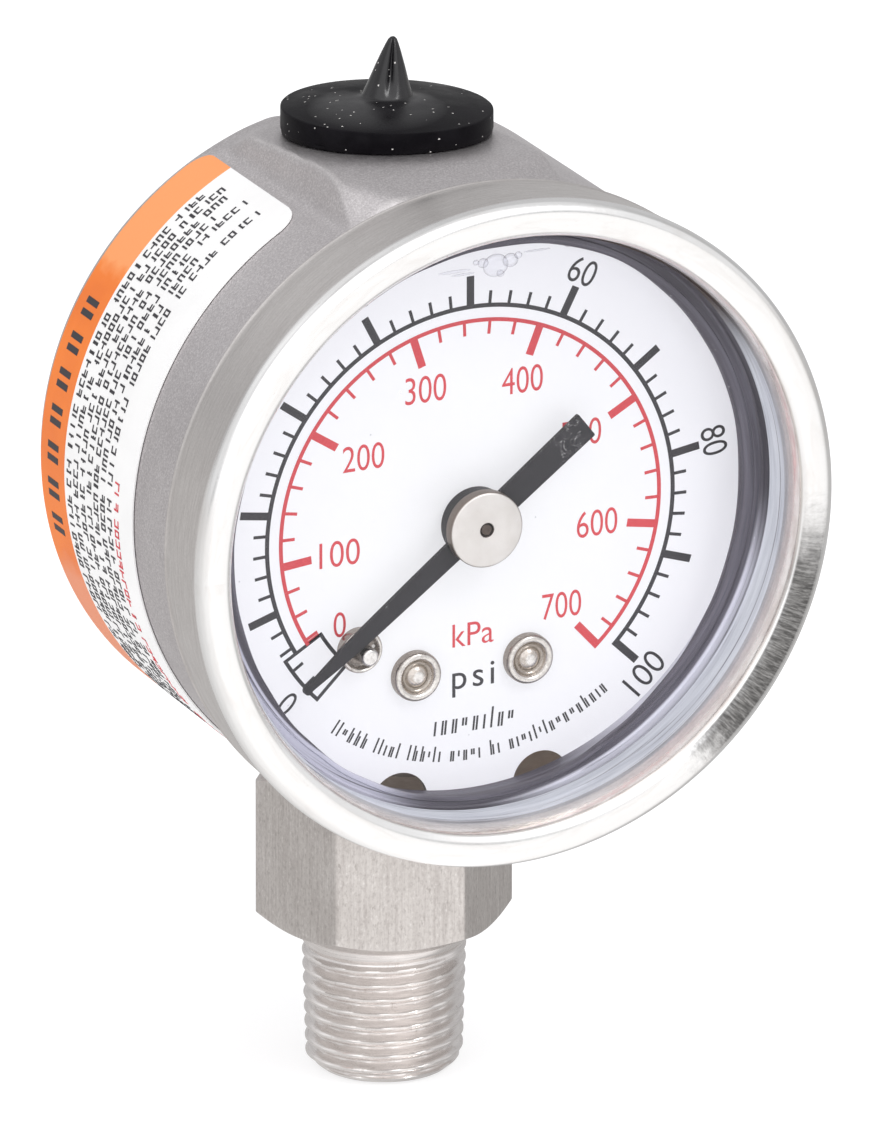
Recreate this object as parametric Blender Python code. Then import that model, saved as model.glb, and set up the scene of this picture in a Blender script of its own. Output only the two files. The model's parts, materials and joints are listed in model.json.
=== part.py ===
# Small liquid-filled pressure gauge with a bottom stem, built as separate parts.
# Metres, +Z up.  The dial faces -Y, +X is to the right of the dial and Z = 0 is the stem's lower end.
# All numbers are millimetres counted from the stem's axis; the parent empty moves the whole back.
import bpy
import bmesh
import math
from mathutils import Vector
from mathutils.geometry import tessellate_polygon

for old in list(bpy.data.objects):
    bpy.data.objects.remove(old, do_unlink=True)

MM = 0.001
STEM_AXIS_Y = 5.97            # the stem's axis stands this far behind the origin

# ---- driving dimensions, millimetres; a centre or a place in the dial's plane is (x, z) ----
STEM_CENTRE = (0.0, 0.0)      # (x, y)
DIAL_CENTRE = (0.0, 39.8)     # pointer axis
CASE_Z = 40.85                # case axis height
CASE_CENTRE = (0.0, CASE_Z)

CASE_BACK_Y = 7.8
CASE_FRONT_Y = -14.6
CASE_R_BACK = 20.2
CASE_R_FRONT = 20.5
CASE_MOUTH_R = 19.72
CASE_LIP_R = 20.72
CASE_WALL = 0.8
CASE_EDGE_R = 1.5             # rounded rear edge
BEZEL_REAR_Y = -13.4

FILL_Y = -0.5                 # filling hole's axis
FILL_HOLE_R = 4.27
PAD_H = 20.2                  # the filling pad over the case axis, on the plug's axis
PAD_Z = CASE_Z + PAD_H
PAD_NORMAL = (0.045, 0.10, 0.99396)   # the pad slopes down a little to the rear and the right

BOSS_LOW_Z = 19.9             # seat of the stem under the case
BOSS_R = 7.2
NECK_HOLE_R = 6.45
NECK_R = 6.3
NECK_TOP_Z = 22.15
HEX_AF = 14.0                 # across flats
HEX_TURN = 13.5               # degrees
HEX_TOP_Z = 19.3
HEX_LOW_Z = 8.9
FLAT_Y = 4.6                  # milled flats on the inner column
COLUMN_TOP_Z = 32.5
BORE_R = 1.7
PASSAGE_R = 0.75
PASSAGE_TOP_Z = 27.9

THREAD_PITCH = 0.9407
THREAD_TOP_R = 5.14
THREAD_TAPER = 1.0 / 32.0
THREAD_DEPTH = 0.62

TUBE_CENTRE = (0.0, 40.3)
TUBE_R = 13.5
TUBE_START = 255.0            # degrees
TUBE_END = 5.0
TUBE_Y = -0.6
TUBE_HALF = (0.9, 2.5)        # half sizes of the flattened section: radial, along y
TUBE_WALL = 0.24
POCKET_GAP = 0.03

TIP_PIN = (13.745, 38.09)
TIP_AXIS = (-3.3072, 36.3714)     # the tip turns about this place
LINK_REACH = (-1.5391, -6.5111)   # from the tip pin to the link's lower eye
LINK_Y = (-8.1, -7.6)
LINK_END_R = 0.95
SECTOR_AXIS = (7.0, 32.8)
SECTOR_Y = (-9.3, -8.5)
TAIL_R = 5.3
TAIL_REST = -13.25            # degrees
MODULE = 0.18
PINION_TEETH = 10
SECTOR_TEETH = 100
PINION_PITCH_R = MODULE * PINION_TEETH / 2
SECTOR_PITCH_R = MODULE * SECTOR_TEETH / 2

SPRING_Y = (-7.9, -7.4)
SPRING_MID_Y = -7.65
SPRING_END = 150.0            # degrees, direction of the outer end
STUD_R = 4.85

PLATE_FRONT_Y = (-10.6, -9.8)
PLATE_BACK_Y = (-5.45, -4.65)
DIAL_Y = -12.62               # front face of the dial plate
DIAL_T = 0.40
DIAL_R = 18.45
NOTCH_R = 1.92                # notches in the dial's rim
NOTCH_TURN = 15.1             # degrees either side of straight down
NOTCH_CLEAR = 2.1             # rim points nearer a notch's centre than this are left out
POINTER_REST = 52.4           # degrees clockwise from straight down
STOP_TURN = 46.1              # the same for the stop pin
STOP_R = 10.58

PILLARS = {'upper_left': (-7.3, 43.4), 'lower_left': (-7.4, 31.0), 'upper_right': (8.4, 43.4)}
MOVE_SCREWS = {'left': (-3.2, 30.5), 'right': (3.2, 30.5)}
CASE_SCREWS = {'left': (-4.4, 23.7), 'right': (4.4, 23.7)}
DIAL_SCREWS = {'left': (-3.8, 30.2), 'right': (3.8, 30.2)}

# ---- materials -----------------------------------------------------------------------------
STEEL = dict(rgb=(0.62, 0.60, 0.58), metallic=1.0, rough=0.35)
BEZEL_STEEL = dict(rgb=(0.60, 0.56, 0.52), metallic=1.0, rough=0.2)
BRASS = dict(rgb=(0.72, 0.53, 0.25), metallic=1.0, rough=0.3)
BRONZE = dict(rgb=(0.60, 0.38, 0.22), metallic=1.0, rough=0.35)
NICKEL = dict(rgb=(0.70, 0.66, 0.60), metallic=1.0, rough=0.25)
RUBBER = dict(rgb=(0.02, 0.02, 0.02), rough=0.7)
CLEAR = dict(rgb=(0.95, 0.97, 0.97), rough=0.02, transmission=1.0)
DIAL_PAINT = dict(rgb=(0.86, 0.86, 0.88), rough=0.45)
BLACK_PAINT = dict(rgb=(0.02, 0.02, 0.02), rough=0.5)
LABEL_FILM = dict(rgb=(0.85, 0.84, 0.82), rough=0.6)
CLEAR_IOR = 1.49


def make_material(name, rgb, rough, metallic=0.0, transmission=0.0):
    material = bpy.data.materials.new(name)
    material.use_nodes = True
    inputs = material.node_tree.nodes['Principled BSDF'].inputs
    inputs['Base Color'].default_value = (*rgb, 1.0)
    inputs['Metallic'].default_value = metallic
    inputs['Roughness'].default_value = rough
    if transmission:
        inputs['Transmission Weight'].default_value = transmission
        inputs['IOR'].default_value = CLEAR_IOR
    material.diffuse_color = (*rgb, 1.0)
    return material


# ---- objects; a mesh is passed about as (verts, faces) -------------------------------------
def add_gauge():
    empty = bpy.data.objects.new('gauge', None)
    empty.location = (0.0, STEM_AXIS_Y * MM, 0.0)
    bpy.context.scene.collection.objects.link(empty)
    return empty


gauge = add_gauge()


def add_part(name, mesh, material, origin=(0.0, 0.0, 0.0), smooth=None):
    """Adds a mesh in millimetres; smooth is the angle in degrees above which edges stay sharp."""
    verts, faces = mesh
    origin = Vector(origin)
    data = bpy.data.meshes.new(name)
    data.from_pydata([((Vector(v) - origin) * MM)[:] for v in verts], [], faces)
    bm = bmesh.new()
    bm.from_mesh(data)
    bmesh.ops.remove_doubles(bm, verts=bm.verts, dist=1e-8)
    bmesh.ops.dissolve_degenerate(bm, edges=bm.edges, dist=1e-9)
    bmesh.ops.recalc_face_normals(bm, faces=bm.faces)
    if bm.calc_volume(signed=True) < 0:
        bmesh.ops.reverse_faces(bm, faces=bm.faces)
    bm.to_mesh(data)
    bm.free()
    if smooth is not None:
        for polygon in data.polygons:
            polygon.use_smooth = True
        data.set_sharp_from_angle(angle=math.radians(smooth))
    part = bpy.data.objects.new(name, data)
    part.location = origin * MM
    part.parent = gauge
    bpy.context.scene.collection.objects.link(part)
    if material is not None:
        data.materials.append(make_material('m_' + name, **material))
    return part


def add_turned(name, centre, profile, n, material, origin=(0.0, 0.0, 0.0), smooth=30):
    """A part turned about an axis along y; the profile is (radius, y)."""
    return add_part(name, revolve('y', centre, profile, n), material, origin, smooth)


def apply_tool(part, operation, name, mesh):
    """Adds a hidden helper and the boolean modifier that uses it."""
    tool = add_part(name, mesh, None)
    tool.hide_render = True
    tool.display_type = 'WIRE'
    modifier = part.modifiers.new(operation.lower() + '_' + name, 'BOOLEAN')
    modifier.operation = operation
    modifier.solver = 'EXACT'
    modifier.object = tool
    return tool


# ---- mesh helpers --------------------------------------------------------------------------
def at_y(place, y):
    return (place[0], y, place[1])


def from_plane(u, v, w):
    """Plane coordinates x, z and a position along y to a point."""
    return (u, w, v)


def polar(centre, radius, degrees):
    angle = math.radians(degrees)
    return (centre[0] + radius * math.cos(angle), centre[1] + radius * math.sin(angle))


def framed(centre, degrees, offsets):
    """(along, across) offsets in a frame turned by degrees, as places."""
    c = math.cos(math.radians(degrees))
    s = math.sin(math.radians(degrees))
    return [(centre[0] + c * t - s * w, centre[1] + s * t + c * w) for t, w in offsets]


def direction(start, end):
    return math.degrees(math.atan2(end[1] - start[1], end[0] - start[0]))


def circle(n, radius, centre):
    return [polar(centre, radius, 360.0 * i / n) for i in range(n)]


def strip(lower, upper):
    """Quads between two closed rings of vertex indices."""
    n = len(lower)
    return [(lower[i], lower[(i + 1) % n], upper[(i + 1) % n], upper[i]) for i in range(n)]


def fan(ring, centre):
    """Triangles from a closed ring to a centre vertex."""
    return [(ring[i], ring[(i + 1) % len(ring)], centre) for i in range(len(ring))]


def revolve(axis, centre, profile, n, phase=0.0):
    """Closed profile [(radius, height)...] turned about 'y' or 'z'; radius 0 gives one vertex."""
    def point(radius, angle, height):
        u = centre[0] + radius * math.cos(angle)
        v = centre[1] + radius * math.sin(angle)
        return (u, height, v) if axis == 'y' else (u, v, height)

    verts, faces, rings = [], [], []
    for radius, height in profile:
        if radius <= 1e-9:
            rings.append([len(verts)] * n)
            verts.append(point(0.0, 0.0, height))
        else:
            rings.append(list(range(len(verts), len(verts) + n)))
            for i in range(n):
                verts.append(point(radius, phase + 2 * math.pi * i / n, height))
    for j, lower in enumerate(rings):
        upper = rings[(j + 1) % len(rings)]
        lower_on_axis = lower[0] == lower[1]
        upper_on_axis = upper[0] == upper[1]
        if lower_on_axis and upper_on_axis:
            continue
        if lower_on_axis:
            faces += [(lower[0], upper[(i + 1) % n], upper[i]) for i in range(n)]
        elif upper_on_axis:
            faces += fan(lower, upper[0])
        else:
            faces += strip(lower, upper)
    return verts, faces


def cylinder(axis, centre, radius, low, high, n=24, phase=0.0):
    profile = [(0.0, low), (radius, low), (radius, high), (0.0, high)]
    return revolve(axis, centre, profile, n, phase)


def cylinders(places, radius, low, high, n, phase=0.0):
    """Equal cylinders along y as one mesh."""
    return join(*[cylinder('y', place, radius, low, high, n, phase) for place in places])


def plate(loops, low, high, to_point=from_plane):
    """Flat plate: loops[0] is the outline, the rest are holes."""
    flat = [place for loop in loops for place in loop]
    triangles = tessellate_polygon([[Vector((u, v, 0.0)) for u, v in loop] for loop in loops])
    n = len(flat)
    verts = [to_point(u, v, level) for level in (low, high) for u, v in flat]
    faces = [tuple(t) for t in triangles]
    faces += [tuple(i + n for i in reversed(t)) for t in triangles]
    start = 0
    for loop in loops:
        ring = list(range(start, start + len(loop)))
        faces += strip(ring, [i + n for i in ring])
        start += len(loop)
    return verts, faces


def join(*meshes):
    verts, faces = [], []
    for part_verts, part_faces in meshes:
        start = len(verts)
        verts += part_verts
        faces += [tuple(i + start for i in face) for face in part_faces]
    return verts, faces


# ---- case: tapered cup with a raised filling pad on top ------------------------------------
# Planes bounding the pad: outward normal, a point on the plane; z is over the case axis.
PAD_PLANES = [(Vector(normal), Vector(normal).dot(Vector(point))) for normal, point in (
    (PAD_NORMAL, (0.0, FILL_Y, PAD_H)),
    ((0.963, 0.0, 0.269), (6.7, 0.0, 20.0)),
    ((-0.963, 0.0, 0.269), (-7.8, 0.0, 20.5)),
    ((0.0, -0.12, 0.993), (0.0, -9.2, 21.07)),
    ((0.45, -0.42, 0.788), (6.2, -9.6, 20.75)),
    ((-0.45, -0.42, 0.788), (-7.4, -9.6, 21.3)),
    ((0.0, 0.45, 0.893), (0.0, 5.2, 19.62)),
    ((0.40, 0.45, 0.80), (5.9, 3.4, 19.8)),
    ((-0.40, 0.45, 0.80), (-7.0, 3.4, 20.2)),
)]
PAD_MIN_SINE = 0.6            # the pad is only looked for above this sine of the column's angle
PAD_BLEND = 0.45              # softness of the join between pad and cup
# Columns over the pad, degrees either side of the top; the others are spread evenly below.
PAD_COLUMNS = (5.0, 10.0, 14.0, 17.0, 19.0, 20.2, 21.4, 22.8, 24.2, 25.6, 27.5, 31.0, 36.0)
LOWER_SPANS = 31
# Front lip, (y, radius).
CASE_LIP = (
    (CASE_FRONT_Y, CASE_MOUTH_R), (CASE_FRONT_Y, CASE_LIP_R), (CASE_FRONT_Y + 0.55, CASE_LIP_R),
    (CASE_FRONT_Y + 0.6, CASE_R_FRONT), (BEZEL_REAR_Y, CASE_R_FRONT),
)
CASE_OUTER_Y = (-12.4, -10.9, -9.8, -8.6, -3.0, 1.6, 3.6, 5.2, 6.3)
CASE_INNER_Y = (3.4, 1.0, -4.0, -9.4, -11.6)


def case_radius(y):
    t = (y - BEZEL_REAR_Y) / (CASE_BACK_Y - BEZEL_REAR_Y)
    return CASE_R_FRONT + (CASE_R_BACK - CASE_R_FRONT) * max(0.0, min(1.0, t))


def case_shape(angle, y, base, inset):
    """Radius of the cup, blended out to the pad whose planes are moved in by inset."""
    c, s = math.cos(angle), math.sin(angle)
    if s < PAD_MIN_SINE:
        return base
    reaches = []
    for normal, distance in PAD_PLANES:
        slope = normal.x * c + normal.z * s
        if slope > 1e-6:
            reaches.append((distance - inset - normal.y * y) / slope)
    pad = min(reaches)
    share = max(0.0, min(1.0, 0.5 + 0.5 * (pad - base) / PAD_BLEND))
    blended = base + (pad - base) * share + PAD_BLEND * share * (1.0 - share)
    # the blend must not rise over the pad's top plane
    normal, distance = PAD_PLANES[0]
    top = (distance - inset - normal.y * y) / (normal.x * c + normal.z * s)
    return min(blended, top)


def case_columns():
    widest = PAD_COLUMNS[-1]
    degrees = [90.0 - turn for turn in reversed(PAD_COLUMNS)] + [90.0]
    degrees += [90.0 + turn for turn in PAD_COLUMNS]
    for i in range(1, LOWER_SPANS):
        degrees.append(90.0 + widest + (360.0 - 2 * widest) * i / LOWER_SPANS)
    return [math.radians(a) for a in degrees]


def case_mesh():
    columns = case_columns()
    verts, rings, faces = [], [], []

    def add_ring(y, radii):
        rings.append(list(range(len(verts), len(verts) + len(columns))))
        for a, r in zip(columns, radii):
            verts.append((r * math.cos(a), y, CASE_Z + r * math.sin(a)))

    def add_plain_ring(y, radius):
        add_ring(y, [radius] * len(columns))

    def add_shaped_ring(y, base, inset):
        add_ring(y, [case_shape(a, y, base, inset) for a in columns])

    def add_rear_edge(turns, back_y, edge_r, base, shape_y, inset):
        for turn in turns:
            a = math.radians(turn)
            scale = (base - edge_r + edge_r * math.cos(a)) / base
            add_ring(back_y - edge_r + edge_r * math.sin(a),
                     [case_shape(c, shape_y, base, inset) * scale for c in columns])

    for y, radius in CASE_LIP:
        add_plain_ring(y, radius)
    for y in CASE_OUTER_Y:
        add_shaped_ring(y, case_radius(y), 0.0)
    edge_y = CASE_BACK_Y - CASE_EDGE_R
    edge_base = case_radius(edge_y)
    add_rear_edge((45, 90), CASE_BACK_Y, CASE_EDGE_R, edge_base, edge_y, 0.0)
    last_outer = len(rings) - 1
    # inside, from the back forward
    add_rear_edge((90, 0), CASE_BACK_Y - CASE_WALL, CASE_EDGE_R - 0.6 * CASE_WALL,
                  edge_base - CASE_WALL, edge_y - 0.2, CASE_WALL)
    for y in CASE_INNER_Y:
        add_shaped_ring(y, case_radius(y) - CASE_WALL, CASE_WALL)
    add_plain_ring(BEZEL_REAR_Y, CASE_MOUTH_R)

    for j, ring in enumerate(rings):
        if j != last_outer:
            faces += strip(ring, rings[(j + 1) % len(rings)])
    for ring in rings[last_outer:last_outer + 2]:      # flat back, outside and inside
        faces += fan(ring, len(verts))
        verts.append((0.0, verts[ring[0]][1], CASE_Z))
    return verts, faces


def lean(mesh):
    """Turns a mesh drawn upright over the filling hole square to the sloping pad."""
    verts, faces = mesh
    turn = Vector((0.0, 0.0, 1.0)).rotation_difference(Vector(PAD_NORMAL))
    seat = Vector((0.0, FILL_Y, PAD_Z))
    return [tuple(seat + turn @ (Vector(v) - seat)) for v in verts], faces


def build_case():
    case = add_part('case', case_mesh(), STEEL, smooth=32)
    screws = CASE_SCREWS.values()
    apply_tool(case, 'UNION', 'cut_case_boss',
               cylinder('z', STEM_CENTRE, BOSS_R, BOSS_LOW_Z, 22.05, 32, 0.043))
    # round bosses on the inside of the back, drilled blind from the front
    apply_tool(case, 'UNION', 'cut_case_nuts', cylinders(screws, 1.97, 4.72, 7.3, 14, 0.24))
    apply_tool(case, 'DIFFERENCE', 'cut_case_neck',
               cylinder('z', STEM_CENTRE, NECK_HOLE_R, 15.0, 22.87, 32, 0.061))
    fill_hole = cylinder('z', (0, FILL_Y), FILL_HOLE_R, PAD_Z - 4.2, PAD_Z + 2.4, 26, 0.037)
    apply_tool(case, 'DIFFERENCE', 'cut_case_fill', lean(fill_hole))
    apply_tool(case, 'DIFFERENCE', 'cut_case_nut_holes',
               cylinders(screws, 0.85, 3.0, 6.45, 12, 0.07))


# ---- bezel, window, seal: closed profiles, (radius, y) -------------------------------------
BEZEL_PROFILE = [
    (20.85, BEZEL_REAR_Y), (20.95, BEZEL_REAR_Y - 0.12), (21.43, -18.6), (21.45, -19.1),
    (21.2, -19.55), (20.5, -19.8), (19.75, -19.7), (19.29, -19.42), (19.06, -18.9),
    (18.97, -18.2), (18.97, -15.75), (19.22, -15.75), (19.22, -18.3), (19.55, -19.1),
    (20.7, -19.25), (20.98, -18.6), (20.76, -14.6), (20.76, -14.02), (20.56, -13.92),
    (20.56, BEZEL_REAR_Y),
]
LENS_PROFILE = [
    (0.0, -18.1), (18.62, -18.1), (18.88, -17.85), (18.88, -15.7), (20.3, -15.7),
    (20.3, -15.3), (0.0, -15.3),
]
SEAL_PROFILE = [
    (17.2, -15.25), (20.3, -15.25), (20.3, -14.64), (19.2, -14.64), (19.15, -12.78),
    (18.55, -12.78), (18.55, -14.75), (17.2, -14.75),
]


def build_window():
    add_turned('bezel_ring', CASE_CENTRE, BEZEL_PROFILE, 60, BEZEL_STEEL, smooth=40)
    add_turned('window_lens', CASE_CENTRE, LENS_PROFILE, 48, CLEAR)
    add_turned('window_seal', CASE_CENTRE, SEAL_PROFILE, 48, RUBBER)


# ---- filling plug --------------------------------------------------------------------------
# (radius, height over the pad)
PLUG_PROFILE = (
    (0.0, -3.4), (3.7, -3.4), (4.22, -2.9), (4.22, 0.03), (6.45, 0.03), (6.56, 0.13),
    (6.56, 1.2), (6.45, 1.33), (4.0, 1.68), (1.6, 2.0), (1.5, 2.1), (0.93, 3.9), (0.3, 5.5),
    (0.14, 5.7), (0.0, 5.75),
)
NIB_FOOT = 2.0                # height over the pad from which the nib leans
NIB_LEAN = (0.091, -0.042)    # sideways shift in x and y per height


def build_fill_plug():
    profile = [(radius, PAD_Z + height) for radius, height in PLUG_PROFILE]
    upright, faces = revolve('z', (0, FILL_Y), profile, 32)
    verts = []
    for x, y, z in upright:
        rise = max(0.0, z - PAD_Z - NIB_FOOT)
        verts.append((x + NIB_LEAN[0] * rise, y + NIB_LEAN[1] * rise, z))
    add_part('fill_plug', lean((verts, faces)), RUBBER, origin=(0, FILL_Y, PAD_Z), smooth=35)


# ---- stem: pipe thread, hexagon, neck and inner column -------------------------------------
THREAD_ROWS = 27
THREAD_LOW_Z = 0.12
THREAD_HIGH_Z = HEX_LOW_Z - 0.3
HEX_CHAMFER_RISES = (0.0, 0.5, 0.95, 1.25, 1.55)


def stem_angles():
    """Every 15 degrees from the hexagon's corners, and the edges of the column's flats."""
    degrees = [HEX_TURN - 30.0 + 15.0 * i for i in range(24)]
    edge = math.degrees(math.asin(FLAT_Y / NECK_R))
    degrees += [edge, 180.0 - edge, 180.0 + edge, 360.0 - edge]
    return [math.radians(a) for a in sorted(a % 360.0 for a in degrees)]


def hex_radius(angle):
    turn = (math.degrees(angle) - HEX_TURN) % 60.0
    return HEX_AF / 2 / math.cos(math.radians(min(turn, 60.0 - turn)))


def thread_radius(angle, z):
    crest = THREAD_TOP_R - THREAD_TAPER * (HEX_LOW_Z - z)
    phase = (z / THREAD_PITCH - angle / (2 * math.pi)) % 1.0
    groove = max(0.0, min(1.0, 1.25 * abs(2 * phase - 1.0) - 0.12))
    fade = max(0.0, min(1.0, (HEX_LOW_Z - 0.15 - z) / 0.8))    # runs out under the hexagon
    lead_in = 3.9 + 1.15 * z                                   # chamfer at the lower end
    return min(crest - THREAD_DEPTH * fade * groove, lead_in)


def column_radius(angle):
    return min(NECK_R, FLAT_Y / max(1e-6, abs(math.sin(angle))))


def stem_mesh():
    angles = stem_angles()
    verts, rings, faces = [], [], []

    def add_ring(z, radii):
        rings.append(list(range(len(verts), len(verts) + len(angles))))
        for a, r in zip(angles, radii):
            verts.append((r * math.cos(a), r * math.sin(a), z))

    def add_round(z, radius):
        add_ring(z, [radius] * len(angles))

    # down the bore and out over the lower end
    for z, radius in ((PASSAGE_TOP_Z, PASSAGE_R), (19.0, PASSAGE_R), (18.4, BORE_R),
                      (0.35, BORE_R), (0.0, BORE_R + 0.35), (0.0, 3.7)):
        add_round(z, radius)
    for i in range(THREAD_ROWS):
        z = THREAD_LOW_Z + (THREAD_HIGH_Z - THREAD_LOW_Z) * i / (THREAD_ROWS - 1)
        add_ring(z, [thread_radius(a, z) for a in angles])
    for rise in HEX_CHAMFER_RISES:
        cone = 5.15 + rise * 1.95
        add_ring(HEX_LOW_Z + rise, [min(hex_radius(a), cone) for a in angles])
    add_ring(HEX_TOP_Z - 0.35, [hex_radius(a) for a in angles])
    add_ring(HEX_TOP_Z, [min(hex_radius(a), 7.5) for a in angles])
    add_round(HEX_TOP_Z, NECK_R)
    add_round(NECK_TOP_Z, NECK_R)
    add_ring(NECK_TOP_Z, [column_radius(a) for a in angles])
    add_ring(COLUMN_TOP_Z - 0.3, [column_radius(a) for a in angles])
    add_ring(COLUMN_TOP_Z, [column_radius(a) - 0.3 for a in angles])

    for lower, upper in zip(rings, rings[1:]):
        faces += strip(lower, upper)
    for ring, z in ((rings[0], PASSAGE_TOP_Z), (rings[-1], COLUMN_TOP_Z)):
        faces += fan(ring, len(verts))
        verts.append((0.0, 0.0, z))
    return verts, faces


def tube_section(grow, n=12):
    """Flattened section, (radial, along y), grown all round."""
    def rounded(half, value):
        return (half + grow) * math.copysign(abs(value) ** 0.8, value)

    angles = [2 * math.pi * i / n for i in range(n)]
    return [(rounded(TUBE_HALF[0], math.cos(a)), rounded(TUBE_HALF[1], math.sin(a)))
            for a in angles]


def tube_mesh(start, end, segments, outer, inner=None):
    """Section swept along the tube's arc, start and end in degrees; hollow if inner is given."""
    verts, faces = [], []
    sections = [outer] if inner is None else [outer, inner]
    k = len(outer)
    m = k * len(sections)
    for j in range(segments + 1):
        turn = start + (end - start) * j / segments
        for section in sections:
            for u, v in section:
                verts.append(at_y(polar(TUBE_CENTRE, TUBE_R + u, turn), TUBE_Y + v))
    for j in range(segments):
        for s in range(len(sections)):
            ring = list(range(j * m + s * k, j * m + (s + 1) * k))
            faces += strip(ring, [i + m for i in ring])
    for j in (0, segments):
        ring = list(range(j * m, j * m + k))
        if inner is None:
            faces.append(tuple(ring))
        else:
            faces += strip(ring, [i + k for i in ring])
    return verts, faces


def build_stem():
    stem = add_part('socket_stem', stem_mesh(), STEEL, smooth=28)
    pocket = tube_mesh(228.0, TUBE_START + 0.3, 6, tube_section(POCKET_GAP))
    apply_tool(stem, 'DIFFERENCE', 'cut_socket_pocket', pocket)
    # cross passage, laid over to run to the left from the stem's axis
    cross = apply_tool(stem, 'DIFFERENCE', 'cut_socket_cross',
                       cylinder('z', (0, 0), 0.5, 0.0, 3.6, 10))
    cross.location = (0.2 * MM, -0.2 * MM, 27.1 * MM)
    cross.rotation_euler = (0.0, math.radians(-90.0), 0.0)
    apply_tool(stem, 'DIFFERENCE', 'cut_socket_bores', join(
        cylinders(MOVE_SCREWS.values(), 0.74, -6.0, -2.1, 12),
        cylinders(CASE_SCREWS.values(), 0.88, -6.0, 6.0, 12)))


def build_stem_fittings():
    low, high = HEX_TOP_Z + 0.03, BOSS_LOW_Z - 0.03
    gasket = [(6.38, low), (7.1, low), (7.1, high), (6.38, high)]
    add_part('socket_gasket', revolve('z', STEM_CENTRE, gasket, 32), RUBBER, smooth=30)
    restrictor = [(0.25, 2.2), (1.4, 2.2), (1.62, 2.42), (1.62, 4.8), (1.42, 5.0), (0.25, 5.0)]
    add_part('restrictor_screw', revolve('z', STEM_CENTRE, restrictor, 20), BRASS, smooth=30)


# ---- bourdon tube and its tip --------------------------------------------------------------
# (distance on from the tube's end, y)
TIP_OUTLINE = [
    (0.03, 2.1), (3.0, 2.1), (3.0, -6.2), (4.6, -6.2), (4.6, -7.1), (1.8, -7.1),
    (1.8, -3.3), (0.03, -3.3),
]
TIP_HALF_WIDTH = 1.05


def build_tube():
    mesh = tube_mesh(TUBE_START, TUBE_END, 32, tube_section(0.0), tube_section(-TUBE_WALL))
    add_part('bourdon_tube', mesh, BRONZE, smooth=30)


def build_tube_tip():
    end = polar(TUBE_CENTRE, TUBE_R, TUBE_END)

    def to_point(onward, y, outward):
        # the tube runs clockwise, so onward is a quarter turn clockwise of outward
        return at_y(framed(end, TUBE_END - 90.0, [(onward, outward)])[0], y)

    mesh = plate([TIP_OUTLINE], -TIP_HALF_WIDTH, TIP_HALF_WIDTH, to_point)
    tip = add_part('tube_tip', mesh, BRASS, origin=at_y(TIP_AXIS, TUBE_Y))
    # eye for the link pin
    apply_tool(tip, 'DIFFERENCE', 'cut_tip_pin', cylinder('y', TIP_PIN, 0.42, -8.0, -5.0, 14))


# ---- link, pins, sector --------------------------------------------------------------------
TAIL_EYE = polar(SECTOR_AXIS, TAIL_R, TAIL_REST)
# Pins and arbor, (radius, y).
TIP_PIN_PROFILE = [
    (0.0, -8.45), (0.7, -8.45), (0.7, -8.16), (0.4, -8.16), (0.4, -6.0), (0.0, -6.0),
]
TAIL_PIN_PROFILE = [
    (0.0, -9.66), (0.72, -9.66), (0.72, -9.34), (0.4, -9.34), (0.4, -7.54), (0.6624, -7.54),
    (0.6624, -7.3), (0.0, -7.3),
]
SECTOR_ARBOR_PROFILE = [
    (0.0, -10.75), (0.4, -10.75), (0.5, -10.65), (0.5, -9.7), (0.82, -9.7), (0.82, -8.46),
    (1.1, -8.46), (1.1, -7.4), (0.82, -7.4), (0.82, -5.55), (0.5, -5.55), (0.5, -4.5),
    (0.0, -4.5),
]


def build_link():
    eye = (TIP_PIN[0] + LINK_REACH[0], TIP_PIN[1] + LINK_REACH[1])
    along = direction(TIP_PIN, eye)
    outline = []
    for centre, start in ((TIP_PIN, 40.0), (eye, -140.0)):
        for i in range(9):
            outline.append(polar(centre, LINK_END_R, along + start + 280.0 * i / 8))
    loops = [outline, circle(14, 0.47, TIP_PIN), circle(14, 0.47, eye)]
    add_part('link', plate(loops, *LINK_Y), BRASS, origin=at_y(TIP_PIN, LINK_Y[0]))


def build_link_pins():
    add_turned('link_pin_tip', TIP_PIN, TIP_PIN_PROFILE, 14, STEEL, at_y(TIP_AXIS, -8.4))
    add_turned('link_pin_sector', TAIL_EYE, TAIL_PIN_PROFILE, 14, STEEL,
               at_y(SECTOR_AXIS, SECTOR_Y[0]))


def tooth(centre, degrees, pitch, profile):
    """One tooth from (turn in pitches, radius) points."""
    return [polar(centre, radius, degrees + turn * pitch) for turn, radius in profile]


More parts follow.
